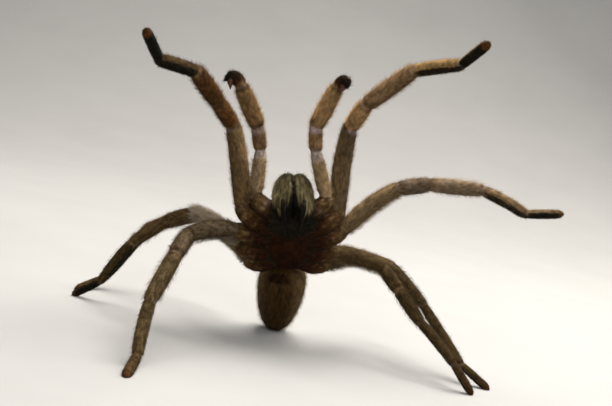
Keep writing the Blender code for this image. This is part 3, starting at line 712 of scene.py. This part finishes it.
def sculpt(spots):
    """Height to add along the normal: joints, fovea, furrows, pits and fine wrinkles."""
    side, ahead, dorsal = spots.body.T
    limbs, ring = spots.of(*SEGMENTS), joint_ring(spots)
    rise = -np.where(limbs, 0.09 * bell(ring, 0.25), 0)
    rise += np.where(limbs & (ring < 1.8), 0.05 * wrinkles(spots) * bell(ring, 1.1), 0)
    shell, behind = spots.of("carapace") & (dorsal > CARAPACE_FLOOR), ahead - FOVEA_AHEAD
    pit = np.exp(-(side / 1.3) ** 2 - ((behind + 0.12 * side ** 2) / 0.42) ** 2)
    rise -= np.where(shell, 0.75 * pit, 0)
    bearing, far = np.abs(np.arctan2(side, behind)), np.hypot(side, behind)
    for angle, depth in FURROWS.items():
        groove = bell((bearing - math.radians(angle)) * far, 0.42)
        rise -= np.where(shell, depth * (groove * step(1.0, 2.5, far) * step(7.6, 5.5, far)), 0)
    for aside, forward in STERNUM_PITS:
        away = np.hypot(np.abs(side) - aside, ahead - forward)
        rise -= np.where(spots.of("sternum"), 0.16 * bell(away, 0.4), 0)
    belly, hips = spots.of("abdomen"), spots.of("coxa", "maxilla")
    rise -= np.where(belly, 0.14 * bell(belly_mark(spots) - 1.0, 0.22), 0)
    for place in HIP_GROOVES:
        rise -= np.where(hips, 0.12 * bell(spots.share - place, 0.018), 0)
    return rise + np.where(belly, 0.10 * (noise(spots.p, 1.6, 5) - 0.5),
                           0.03 * (noise(spots.p, 0.8, 6) - 0.5))


def paint_limbs(spots):
    """Legs and palps: shades by segment, a painted highlight on top and painted shade underneath,
    joints, lilac patches and dark pads under the feet.
    """
    fine, up, share, ring = spots.fine, spots.up, spots.share, joint_ring(spots)
    femur, end = spots.of("femur"), spots.length - spots.along
    warm = spots.warm + 0.3 * (spots.broad - 0.5)
    colour = layered(OLIVE, (TAN, warm), (RUST, warm - 1)) * spots.bright[:, None]
    colour = mix(colour, LILAC, spots.haze * (0.6 + 0.8 * fine))
    # painted highlight: the upper side of each segment lighter, where the light falls on it
    colour = mix(colour, colour * 2.2, 0.28 * step(0.1, 0.9, up) * (0.5 + fine))
    # painted shade under each segment; joints: a thin brown line, then a paler band of membrane
    line = np.where(spots.of(*SEGMENTS[:-1]), 0.85 * bell(ring - 0.55, 0.22), 0)
    bare = np.where(spots.of(*SEGMENTS) & ~(femur & (share < 0.5)),
                    bell(ring, 0.30) * step(0.95, 0.2, up), 0)
    colour = layered(colour, (BLACK * 2.5, 0.2 * step(0.0, 0.9, -up)), (BROWN * 0.5, line),
                     (LILAC, 0.6 * bare * np.clip(spots.bright, 0.3, 1)))
    # lilac patches at the ends of femora and of the palps' patellae, brighter on the left as
    # painted light and dimmer on the right as painted shade
    under = step(0.75, -0.1, up)
    patch = np.where(femur & spots.palp, step(2.6, 1.6, end) * under, 0)
    patch = np.maximum(patch, np.where(femur & (spots.number == 1),
                                       step(1.7, 1.2, end) * step(0.6, -0.2, up), 0))
    lilac = LILAC * np.where(spots.palp, 1.2, np.where(spots.left, 1.35, 0.85))[:, None]
    knee = np.where(spots.of("patella") & spots.palp, step(2.0, 1.2, end) * under, 0)
    # painted highlight: pale gold on the ridges of the wrinkles near the patellae's and tibiae's
    # ends
    ridge_highlight = np.where(spots.of("patella", "tibia"), bell(ring, 1.1), 0)
    ridge_highlight = 0.4 * ridge_highlight * step(0.2, 0.9, wrinkles(spots)) * step(0.2, 0.5, fine)
    colour = layered(colour, (lilac, 0.85 * patch),
                     (LILAC * (1.8, 1.7, 2.0), np.where(spots.left, 0.85, 0.4) * knee),
                     (GOLD * 1.1, ridge_highlight))
    # dark pads under the feet
    feet = spots.of("tarsus") & ~spots.palp
    reach = np.where(feet, 1.0, np.where(spots.of("metatarsus"), step(0.0, 0.18, share), 0))
    edge = 0
    for (side, number), (first, second) in PAD_EDGES.items():
        mine = (spots.number == number) & (spots.left == (side == "left"))
        edge = np.where(mine, np.where(feet, second, first), edge)
    edge = edge + 0.3 * (fine - 0.5)
    return layered(colour, (BLACK, 0.97 * (reach * step(edge + 0.12, edge - 0.12, up))),
                   (RUST * 0.5, np.where(feet, 0.7 * step(0.86, 0.93, share), 0)))


def paint_hood(spots):
    """Tip of a palp: brown, then black."""
    uneven = spots.share + 0.2 * (spots.fine - 0.5)
    return layered(TAN * 0.9, (BROWN * 0.6, step(0.05, 0.4, uneven)),
                   (BLACK, 0.85 * step(0.35, 0.75, spots.share)))


def paint_hips(spots):
    """Coxae and maxillae, with a groove and pale rings between coxa and trochanter, and painted
    shade where they meet other parts and round the mouth.
    """
    fine, up, share = spots.fine, spots.up, spots.share
    golden = step(0.55, 0.85, noise(spots.p, 0.55, 24))
    rings = bell(share - 0.66, 0.02) + bell(share - 0.975, 0.015)
    rings = np.where(spots.palp, 0.2, 0.4) * rings * step(-0.3, 0.4, fine + 0.3 * up)
    grooves = bell(share - HIP_GROOVES[0], 0.02) + bell(share - HIP_GROOVES[1], 0.015)
    return layered(
        BROWN * 0.85, (MAROON, 0.9 * step(0.3, -0.3, up) * step(0.8, 0.3, share)),
        (OLIVE, 0.5 * step(0.45, 0.85, share) * (0.3 + 0.7 * fine)),
        (GOLD * 0.9, 0.42 * golden * step(0.35, 0.65, share)), (LILAC * 0.8, rings),
        (BLACK, 0.8 * grooves),
        # painted shade: black in the creases where a hip meets its neighbours
        (BLACK, 0.8 * step(0.55, 0.1, spots.crease) * step(0.95, 0.8, share)),
        # black round the mouth: dark hair and painted shade
        (BLACK, 0.95 * step(1.15, 0.75, mouth(spots)) * step(0.6, -0.2, up)))


def paint_plate(spots):
    """Sternum and the skin round the mouth, black near the mouth as dark hair and painted shade.
    """
    return layered(MAROON, (BROWN, 0.35 * spots.fine),
                   (BLACK, 0.85 * step(1.15, 0.75, mouth(spots))))


def paint_shell(spots):
    """Carapace: browner at the fovea, paler towards its rim."""
    around = np.hypot(spots.body[:, 0], spots.body[:, 1] - FOVEA_AHEAD)
    return layered(OLIVE, (TAN, 0.2 + 0.4 * spots.broad), (BROWN, 0.6 * bell(around, 1.3)),
                   (PALE, 0.3 * step(5.5, 8.0, around) * spots.fine))


def paint_jaw(spots):
    """Jaws: streaked grey above, black below in a point, and painted shade along the slit between
    them.
    """
    side, ahead, dorsal = spots.body.T
    aside, rise = np.abs(side - JAW["swing"]), ahead + 0.62 * dorsal
    streak = step(0.35, 0.7, noise(spots.p @ ATTITUDE * (3.6, 0.5, 0.5), 1.0, 21))
    grey = layered(GREY, (OLIVE, 0.45 * spots.broad), (BLACK * 2, 0.55 * streak),
                   (PALE * (0.95, 1.0, 0.9), 0.3 * step(0.35, 0.0, streak)))
    foot = 6.7 + 0.9 * np.abs(aside - 2.1) + 1.1 * (streak - 0.5)
    # painted shade: black along the slit between the jaws
    slit = 0.32 + 0.14 * np.clip(12.6 - rise, 0, 5)
    slit = 0.97 * step(slit + 0.14, slit - 0.10, aside) * step(14.5, 13.9, rise)
    return layered(grey * (1.15 + 0.35 * step(1.6, 3.4, aside))[:, None],
                   (BLACK, 0.97 * step(foot + 0.5, foot - 0.5, rise)), (BLACK, slit))


def paint_belly(spots):
    """Abdomen: dark velvet with painted rim light towards its sides, painted shade at its tip and
    a maroon mark under its front.
    """
    fine, up, share = spots.fine, spots.up, spots.share
    # painted rim light: paler towards the sides
    rim = step(0.45, 0.98, np.abs(spots.aside)) * step(0.97, 0.7, share)
    velvet = layered(BELLY, (OLIVE, 0.25 * spots.broad), (GOLD * 0.6, rim * (0.4 + 0.6 * fine)),
                     # painted shade: black towards the tip, where it rests on the floor
                     (OLIVE, 0.6 * step(-0.1, 0.5, up)), (BLACK, 0.85 * step(0.74, 0.98, share)),
                     (MAROON, 0.9 * step(1.25, 0.75, belly_mark(spots))))
    places = [np.arctan2(spots.aside, up) * 9, spots.along * 0.5, np.zeros(len(up))]
    return velvet * (0.75 + 0.5 * noise(np.stack(places, 1), 1.0, 23))[:, None]


PAINTERS = {paint_hood: ("cymbium",), paint_hips: ("coxa", "maxilla"),
            paint_plate: ("sternum", "trunk", "lip", "web"), paint_shell: ("carapace", "mound"),
            paint_jaw: ("jaw",), paint_belly: ("abdomen", "spinneret", "pedicel")}


def paint(spots):
    """Colour of skin and coat at places on the body."""
    spots.broad, spots.fine = noise(spots.p, 4.5, 11), noise(spots.p, 0.9, 12)
    colour = paint_limbs(spots)
    colour[spots.of("membrane")] = LILAC * (1.5, 1.25, 1.15)
    for painter, kinds in PAINTERS.items():
        mine = spots.of(*kinds)
        colour[mine] = painter(spots)[mine]
    speck = step(0.25, 0.75, noise(spots.p, 0.4, 13))
    return colour * (0.50 + 0.30 * spots.fine + 0.72 * speck)[:, None]


def make_skin():
    """The skin's mesh, its points and its normals."""
    mesh = remeshed(*joined([shape.mesh() for shape in SHAPES]))
    p = smoothed(mesh)
    p = p + normals(mesh) * sculpt(Spots(p))[:, None]
    p[:, 2] = np.maximum(p[:, 2], LOWEST)
    mesh.vertices.foreach_set("co", p.ravel())
    mesh.update()
    return mesh, p, normals(mesh)


def shader_of(name):
    """New material with its nodes and its shader."""
    material = bpy.data.materials.new(name)
    material.use_nodes = True
    return material, material.node_tree, material.node_tree.nodes["Principled BSDF"]


def set_sockets(node, **values):
    """Give sockets of a node constant values, with _ for a space in their names."""
    for name, value in values.items():
        node.inputs[name.replace("_", " ")].default_value = value


def grain_of(tree, scale, detail):
    """Noise that stays on the object."""
    grain, place = tree.nodes.new("ShaderNodeTexNoise"), tree.nodes.new("ShaderNodeTexCoord")
    set_sockets(grain, Scale=scale, Detail=detail)
    tree.links.new(place.outputs["Object"], grain.inputs["Vector"])
    return grain


def two_tones(tree, grain, shader, tones, places):
    """Colour the shader between two tones by the noise."""
    ramp = tree.nodes.new("ShaderNodeValToRGB")
    for element, tone, place in zip(ramp.color_ramp.elements, tones, places):
        element.position, element.color = place, (*tone, 1)
    tree.links.new(grain.outputs["Fac"], ramp.inputs["Fac"])
    tree.links.new(ramp.outputs["Color"], shader.inputs["Base Color"])


def tinted(name, roughness, spread, scale, bump):
    """Material that takes its colour from the markings, broken up by fine noise."""
    material, tree, shader = shader_of(name)
    nodes, links = tree.nodes, tree.links
    tint = nodes.new("ShaderNodeAttribute")
    tint.attribute_name = "tint"
    grain = grain_of(tree, scale, 4.0)
    vary = nodes.new("ShaderNodeMapRange")
    set_sockets(vary, To_Min=1 - spread, To_Max=1 + spread)
    links.new(grain.outputs["Fac"], vary.inputs["Value"])
    varied = nodes.new("ShaderNodeVectorMath")
    varied.operation = "SCALE"
    links.new(tint.outputs["Color"], varied.inputs[0])
    links.new(vary.outputs["Result"], varied.inputs["Scale"])
    links.new(varied.outputs["Vector"], shader.inputs["Base Color"])
    if bump:
        relief = nodes.new("ShaderNodeBump")
        set_sockets(relief, Strength=bump, Distance=0.00012)
        links.new(grain.outputs["Fac"], relief.inputs["Height"])
        links.new(relief.outputs["Normal"], shader.inputs["Normal"])
    set_sockets(shader, Roughness=roughness, Specular_IOR_Level=0.05)
    return material


def horn(name, tones, roughness, coat, shine, scale=900.0):
    """Smooth glossy horn, a little uneven in colour."""
    material, tree, shader = shader_of(name)
    two_tones(tree, grain_of(tree, scale, 3.0), shader, tones, (0.35, 0.72))
    set_sockets(shader, Roughness=roughness, Specular_IOR_Level=shine, Coat_Weight=coat,
                Coat_Roughness=0.08)
    return material


# For short and for long tufts: number on a square millimetre, length, half width, lift
STYLES = {
    "femur": ((60, 0.78, 0.036, 19), (9.0, 1.20, 0.024, 58)),
    "patella": ((60, 0.72, 0.036, 19), (9.0, 1.10, 0.024, 58)),
    "tibia": ((60, 0.78, 0.036, 20), (9.0, 1.30, 0.024, 58)),
    "metatarsus": ((64, 0.68, 0.034, 21), (8.0, 1.05, 0.022, 58)),
    "tarsus": ((76, 0.55, 0.032, 26), (5.0, 0.75, 0.018, 58)),
    "cymbium": ((66, 0.60, 0.034, 24), (5.0, 1.10, 0.022, 46)),
    "coxa": ((64, 0.55, 0.032, 18), (4.0, 0.95, 0.021, 50)),
    "maxilla": ((64, 0.55, 0.032, 18), (4.0, 0.95, 0.021, 50)),
    "carapace": ((60, 0.65, 0.036, 11), (1.0, 1.00, 0.022, 30)),
    "mound": ((30, 0.40, 0.030, 14), (0.5, 0.80, 0.022, 45)),
    "sternum": ((64, 0.60, 0.032, 22), (5.0, 1.10, 0.022, 52)),
    "lip": ((64, 0.50, 0.030, 24), (4.0, 0.90, 0.022, 50)),
    "web": ((40, 0.60, 0.036, 24), (2.0, 0.90, 0.022, 45)),
    "trunk": ((20, 0.70, 0.036, 24), (1.0, 1.00, 0.024, 40)),
    "jaw": ((120, 0.90, 0.027, 14), (9.0, 1.50, 0.022, 27)),
    "abdomen": ((60, 0.80, 0.036, 20), (7.0, 1.40, 0.022, 46)),
    "pedicel": ((20, 0.50, 0.036, 20), (1.0, 0.80, 0.022, 40)),
    "spinneret": ((70, 0.42, 0.030, 22), (6.0, 0.70, 0.018, 40)),
    "membrane": ((0.5, 0.20, 0.020, 20), (0.1, 0.30, 0.018, 40)),
}


def tuft_shapes(root, normal, lie, length, width, lift, droop, stations):
    """Points of every tuft: three-sided rings at the stations, then the tip."""
    lie = unit(lie - normal * np.sum(lie * normal, 1)[:, None])
    first = lie * np.cos(lift)[:, None] + normal * np.sin(lift)[:, None]
    later = lie * np.cos(lift * droop)[:, None] + normal * np.sin(lift * droop)[:, None]
    across = unit(np.cross(first, normal))
    over = np.cross(first, across)
    base = root - normal * TUFT_SINK
    points = []
    for t, share in stations:
        centre = base + length[:, None] * (t * first + t * t / 2 * (later - first))
        if share == 0:
            points.append(centre[:, None])
            continue
        ring = []
        for k in range(3):
            turn = 2 * math.pi * k / 3
            ring.append(centre + (width * share)[:, None]
                        * (TUFT_WIDE * math.cos(turn) * across
                           + TUFT_THICK * math.sin(turn) * over))
        points.append(np.stack(ring, 1))
    return np.concatenate(points, 1)


def tuft_faces(rings):
    """Triangles of one tuft, as corner numbers and as places round and along it."""
    corners, places = [], []
    for ring in range(rings):
        low, high = ring * 3, ring * 3 + 3
        for k in range(3):
            n = (k + 1) % 3
            if ring == rings - 1:
                corners.append((low + k, low + n, high))
                places.append(((k, ring), (k + 1, ring), (k + 0.5, ring + 1)))
            else:
                corners += [(low + k, low + n, high + n), (low + k, high + n, high + k)]
                places += [((k, ring), (k + 1, ring), (k + 1, ring + 1)),
                           ((k, ring), (k + 1, ring + 1), (k, ring + 1))]
    return np.array(corners), np.array(places, float) / (3, rings)


def coat_name(shape):
    """Piece of the coat that covers a shape."""
    if shape.kind in ("abdomen", "spinneret"):
        return "coat_abdomen"
    if shape.kind == "jaw":
        return "coat_jaws"
    if shape.kind in ("coxa", "maxilla") or shape.number == "":
        return "coat_trunk"
    if shape.number == "palp":
        return "coat_palps"
    return f"coat_leg_{shape.side}_{shape.number}"


def patch_places(spots, members):
    """Place of each root on an unwrap of the skin, one cell of a square to each shape."""
    columns = math.ceil(math.sqrt(len(members)))
    cell = np.array([members.index(i) for i in spots.shape])
    turn = np.arctan2(spots.aside, spots.up) / (2 * math.pi) + 0.5
    rise = np.arcsin(np.clip(spots.up, -1, 1)) / math.pi + 0.5
    u, v = np.clip(spots.share, 0, 1), np.where(spots.oval, rise, turn)
    return np.stack([(index + CELL_INSET + place * (1 - 2 * CELL_INSET)) / columns
                     for index, place in ((cell % columns, u), (cell // columns, v))], 1)


def tuft_style(spots, rng, longer):
    """Length, half width, lift and droop of a tuft at each place."""
    count = len(spots.p)
    _, length, width, lift = np.array([STYLES[k][longer] for k in KINDS])[spots.kind].T
    lift = np.radians(lift + rng.normal(0, 12 if longer else 6, count))
    length = length * rng.uniform(0.7, 1.25, count)
    droop = rng.uniform(0.15, 0.6, count)
    # dense upright pads under the feet
    pad = spots.of("tarsus", "metatarsus") & (spots.up < 0.1) & ~spots.palp
    length[pad] *= 0.75
    lift[pad] = np.radians(rng.normal(52, 9, int(pad.sum())))
    return length, width, lift, droop


def fringes(spots):
    """How many more long tufts stand in the fringes, how much longer, and how silver."""
    up, number, femur = spots.up, spots.number, spots.of("femur")
    under = femur & (number >= 2) & (up < -0.35)
    shaggy = femur & ~spots.left & (number == 3) & (up > -0.3)
    beard = spots.palp & spots.of("tibia", "patella") & (spots.body[:, 2] < 2.0)
    more = np.select([beard, shaggy, under], [2.5, 4.0, 3.0], 1.0)
    longer = np.select([beard, shaggy, under], [1.3, 1.35, 1.35], 1.0)
    silver = np.select([shaggy, under & ~spots.left & (number == 2)], [0.75, 0.7], 0.0)
    return more, longer, silver


def draw_roots(members, skin, longer, triangles_left, rng):
    """Roots and normals drawn at random over the skin, by the density of the tufts."""
    p, n, corners, faces, area = skin
    density = np.array([STYLES[k][longer][0] for k in KINDS])[faces.kind]
    sparse = 0.45 + 0.55 * step(0.1, 0.45, joint_ring(faces))
    density = density * np.where(faces.of(*SEGMENTS[:-1]), sparse, 1)
    bald = np.where(faces.of("femur") & faces.palp,
                    step(2.6, 1.8, faces.length - faces.along) * step(0.6, -0.1, faces.up), 0)
    density = density * (1 - 0.85 * bald)
    if longer:
        density = density * fringes(faces)[0]
    weight = np.where(np.isin(faces.shape, members), area * density, 0)
    count = int(min(weight.sum(), triangles_left / TUFT_TRIANGLES[longer]))
    chosen = rng.choice(len(weight), count, p=weight / weight.sum())
    r1, r2 = np.sqrt(rng.uniform(size=count)), rng.uniform(size=count)
    share = np.stack([1 - r1, r1 * (1 - r2), r1 * r2], 1)
    root = np.einsum("ij,ijk->ik", share, p[corners[chosen]])
    normal = unit(np.einsum("ij,ijk->ik", share, n[corners[chosen]]))
    keep = np.isin(Spots(root).shape, members)
    return root[keep], normal[keep]


def make_tufts(members, skin, longer, triangles_left, rng):
    """Points, corner numbers, colours and places on the unwrap of one sort of tuft."""
    root, normal = draw_roots(members, skin, longer, triangles_left, rng)
    spots = Spots(root)
    length, width, lift, droop = tuft_style(spots, rng, longer)
    wander = np.stack([noise(root, 1.3, 31 + k) - 0.5 for k in range(3)], 1)
    lie = spots.onward + 0.45 * wander + rng.normal(0, 0.13, root.shape)
    colour = paint(spots) * rng.uniform(0.78, 1.28, (len(root), 1))
    low, high = TUFT_SHADES[longer]
    ends = colour * high
    stations = [(0.0, 0.9), (1.0, 0.0)]
    if longer:
        _, extra, silver = fringes(spots)
        length = length * extra
        stations.insert(1, (0.5, 0.8))
        body = spots.of("coxa", "maxilla", "abdomen")
        # painted rim light: gold over the long tufts, most at their tips, stronger on brighter
        # segments
        rim_light = np.where(body | spots.of(*SEGMENTS[:-1]), 0.7 * np.clip(spots.bright, 0.2, 1), 0)
        rim_light = rim_light * np.where(body, 0.45, 1)
        ends, colour = mix(ends, GOLD, rim_light), mix(colour, GOLD, 0.4 * rim_light)
        ends, colour = mix(ends, SILVER, silver), mix(colour, SILVER, 0.6 * silver)
    points = tuft_shapes(root, normal, lie, length, width, lift, droop, stations)
    corners, places = tuft_faces(len(stations) - 1)
    points[..., 2] = np.maximum(points[..., 2], LOWEST)
    rings = [np.repeat(tone[:, None], 3, 1) for tone in (colour * low, colour)[:len(stations) - 1]]
    tint = np.concatenate(rings + [ends[:, None]], 1)
    loops = patch_places(spots, members)[:, None, None] + PATCH_SIZE * (places[None] - 0.5)
    return points, corners, tint, loops


def make_coat(name, members, skin, material, seed):
    """One piece of the coat over the shapes in members, its long tufts first."""
    rng = np.random.default_rng(SEED + seed)
    budget = LARGE_COAT if name in ("coat_abdomen", "coat_trunk") else SMALL_COAT
    batches = [make_tufts(members, skin, 1, budget / 2, rng)]
    used = len(batches[0][0]) * len(batches[0][1])
    batches.append(make_tufts(members, skin, 0, budget - used, rng))
    write_piece(name, batches, material)


def write_piece(name, batches, material):
    """Object of all tufts in the batches, with markings and unwrap."""
    def flat(index, width):
        return np.concatenate([batch[index].reshape(-1, width) for batch in batches])

    faces, start = [], 0
    for points, corners, _, _ in batches:
        count, per = points.shape[:2]
        first = start + np.arange(count)[:, None, None] * per
        faces.append((first + corners[None]).reshape(-1, 3))
        start += count * per
    faces = np.concatenate(faces)
    mesh = bpy.data.meshes.new(name)
    mesh.vertices.add(start)
    mesh.vertices.foreach_set("co", (flat(0, 3) * MM).ravel())
    mesh.loops.add(len(faces) * 3)
    mesh.loops.foreach_set("vertex_index", faces.ravel().astype(np.int32))
    mesh.polygons.add(len(faces))
    mesh.polygons.foreach_set("loop_start", np.arange(0, len(faces) * 3, 3, dtype=np.int32))
    mesh.polygons.foreach_set("use_smooth", np.ones(len(faces), bool))
    mesh.update(calc_edges=True)
    write_tint(mesh, flat(2, 3))
    layer = mesh.uv_layers.new(name="OFBake")
    layer.data.foreach_set("uv", flat(3, 2).astype(np.float32).ravel())
    mesh.materials.append(material)
    add_object(name, mesh)


def write_tint(mesh, colour):
    """Keep the markings as a colour of each point."""
    layer = mesh.color_attributes.new("tint", "FLOAT_COLOR", "POINT")
    rgba = np.ones((len(colour), 4), np.float32)
    rgba[:, :3] = np.clip(colour, 0, 1)
    layer.data.foreach_set("color", rgba.ravel())


def add_object(name, mesh):
    """Visible piece on the one body of the part."""
    thing = bpy.data.objects.new(name, mesh)
    bpy.context.scene.collection.objects.link(thing)
    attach(thing, "root")
    return thing


def hard_piece(name, parts, material, slot, *nodes):
    """One smooth object from closed parts of points and faces."""
    points, faces = joined(parts)
    mesh = new_mesh(name, points * MM, faces)
    mesh.shade_smooth()
    mesh.materials.append(material)
    thing = add_object(name, mesh)
    if nodes:
        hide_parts(*nodes)


def fang(side):
    """Curved fang, folded under its jaw."""
    places = [body_point(*(np.array(sided(side, q)) + (JAW["swing"], 0, 0)))
              for q in (FANG_ROOT, FANG_BEND, FANG_TIP)]
    ts = np.linspace(0, 1, 22)
    path = [places[0] - unit(places[1] - places[0]) * 0.9] + [curved(*places, t) for t in ts]
    radii = [max(FANG_RADIUS * (1 - 0.86 * t ** 1.25), 0.06) for t in ts]
    return Rod("fang", path, [FANG_RADIUS * 0.9] + radii, (0, 0, 1)).mesh(24, 0.2)


def bulb(side):
    """Bulb of a male's palp, twisted to a fine point."""
    _, root, way = palp_tip(side)
    twist = unit(np.cross(way, (0.3, 1.0, 0.2)))
    path = [root + way * BULB_LENGTH * t + twist * 0.35 * max(t - 0.45, 0) ** 2
            for t, _ in BULB_RUN]
    return Rod("bulb", path, [r * 0.94 for _, r in BULB_RUN], (0, 0, 1)).mesh(24, 0.12)


def claws(rod):
    """Two small curved claws at the end of a foot."""
    tip, way = rod.points[-1], unit(rod.points[-1] - rod.points[-2])
    back = unit(rod.dorsal - way * (rod.dorsal @ way))
    ts = np.linspace(0, 1, 8)
    parts = []
    for sign in (-1, 1):
        start = tip + back * 0.15 + np.cross(way, back) * sign * 0.2 - way * 0.1
        bend = start + way * 0.55 + back * 0.12
        end = start + way * 0.62 - back * 0.42
        path = np.array([curved(start, bend, end, t) for t in ts])
        path[:, 2] = np.maximum(path[:, 2], CLAW_LOWEST)
        parts.append(Rod("claw", path, 0.13 - 0.09 * ts, (0, 0, 1)).mesh(8, 0.1))
    return parts


def lenses():
    """The eight eye lenses on their mound."""
    parts = []
    for aside, ahead, radius in EYES:
        height = EYE_MOUND_SIZE[2] * math.sqrt(max(
            1 - (aside / EYE_MOUND_SIZE[0]) ** 2 - (ahead / EYE_MOUND_SIZE[1]) ** 2, 0.04))
        for sign in (-1, 1):
            place = body_point(sign * aside, EYE_MOUND_AHEAD + ahead, EYE_MOUND_RISE + height)
            parts.append(Oval("lens", place, (radius,) * 3).mesh(20, 12))
    return parts


def dress():
    """Skin, coat and hard parts in place of the solids."""
    mesh, p, n = make_skin()
    mesh.calc_loop_triangles()
    triangles = np.empty(len(mesh.loop_triangles) * 3, int)
    mesh.loop_triangles.foreach_get("vertices", triangles)
    triangles = triangles.reshape(-1, 3)
    a, b, c = p[triangles].transpose(1, 0, 2)
    area = np.linalg.norm(np.cross(b - a, c - a), axis=1) / 2
    faces = Spots(p[triangles].mean(1))
    mesh.vertices.foreach_set("co", (p * MM).ravel())
    mesh.polygons.foreach_set("use_smooth", np.ones(len(mesh.polygons), bool))
    mesh.update()
    mesh.materials.clear()
    mesh.materials.append(tinted("velvet skin", 0.7, 0.35, 2600.0, 0.6))
    write_tint(mesh, paint(Spots(p)) * 0.8)
    skin = add_object("skin", mesh)
    flesh = [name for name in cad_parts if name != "eyes" and not name.startswith("fang")]
    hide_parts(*flesh)
    hair = tinted("tufted coat", 0.6, 0.12, 900.0, 0.0)
    names = [coat_name(shape) for shape in SHAPES]
    for number, name in enumerate(sorted(set(names))):
        members = [index for index, other in enumerate(names) if other == name]
        make_coat(name, members, (p, n, triangles, faces, area), hair, number)
    black_horn = horn("black horn", BLACK_HORN, 0.5, 0.0, 0.05)
    lens = horn("lens", LENS, 0.06, 1.0, 0.3)
    red_horn = horn("red brown horn", RED_HORN, 0.34, 0.1, 0.2, 420.0)
    for side in ("left", "right"):
        hard_piece(f"fang_horn_{side}", [fang(side)], black_horn, "fang", f"fang_{side}")
        hard_piece(f"palp_bulb_{side}", [bulb(side)], red_horn, "fang")
    parts = [claw for rod in SHAPES if rod.kind == "tarsus" for claw in claws(rod)]
    hard_piece("claws", parts, black_horn, "fang")
    hard_piece("eye_lenses", lenses(), lens, "eye", "eyes")


def studio():
    """Pale curved backdrop, soft lights and the camera of the photograph."""
    scene = bpy.context.scene
    profile = [(-0.9, 0.0), (0.1, 0.0), (BACKDROP_BEND, 0.0)]
    for k in range(1, 13):
        turn = math.radians(90 * k / 12)
        profile.append((BACKDROP_BEND + BACKDROP_RADIUS * math.sin(turn),
                        BACKDROP_RADIUS * (1 - math.cos(turn))))
    profile.append((BACKDROP_BEND + BACKDROP_RADIUS, BACKDROP_HEIGHT))
    points = [(x, y, z) for y, z in profile for x in (-BACKDROP_SIDE, BACKDROP_SIDE)]
    faces = [(2 * i, 2 * i + 1, 2 * i + 3, 2 * i + 2) for i in range(len(profile) - 1)]
    mesh = new_mesh("backdrop", points, faces)
    mesh.shade_smooth()
    material, tree, shader = shader_of("pale paper")
    grain = tree.nodes.new("ShaderNodeTexNoise")
    set_sockets(grain, Scale=60.0)
    two_tones(tree, grain, shader, PAPER, (0.0, 1.0))
    set_sockets(shader, Roughness=0.9)
    mesh.materials.append(material)
    backdrop = bpy.data.objects.new("backdrop", mesh)
    scene.collection.objects.link(backdrop)
    for name, place, size, strength, colour in LAMPS:
        light = bpy.data.lights.new(name, "AREA")
        light.size, light.energy, light.color = size, strength, colour
        lamp = bpy.data.objects.new(name, light)
        aim_at(lamp, place)
        scene.collection.objects.link(lamp)
    scene.view_settings.view_transform = "Standard"
    scene.world = bpy.data.worlds.new("studio")
    scene.world.use_nodes = True
    set_sockets(scene.world.node_tree.nodes["Background"], Color=(0.93, 0.96, 1.0, 1),
                Strength=0.32)
    camera = bpy.data.cameras.new("camera")
    camera.sensor_width, camera.lens = 36.0, CAMERA_LENS
    camera.clip_start, camera.clip_end = 0.01, 10.0
    view = bpy.data.objects.new("camera", camera)
    back = -np.array(CAMERA_FORWARD)
    stand(view, CAMERA_RIGHT, np.cross(CAMERA_RIGHT, CAMERA_FORWARD), back, CAMERA_AT)
    scene.collection.objects.link(view)
    scene.camera = view


def stand(thing, right, above, back, place):
    """Stand an object at a place, by the world directions of its own axes."""
    thing.matrix_world = Matrix([*np.transpose([right, above, back, place]).tolist(),
                                 [0, 0, 0, 1]])


def aim_at(thing, place):
    """Stand a lamp at a place and turn it to the spider."""
    back = unit(np.array(place) - LIT_PLACE)
    across = unit(np.cross((0, 0, 1), back))
    stand(thing, across, np.cross(back, across), back, place)


dress()
studio()
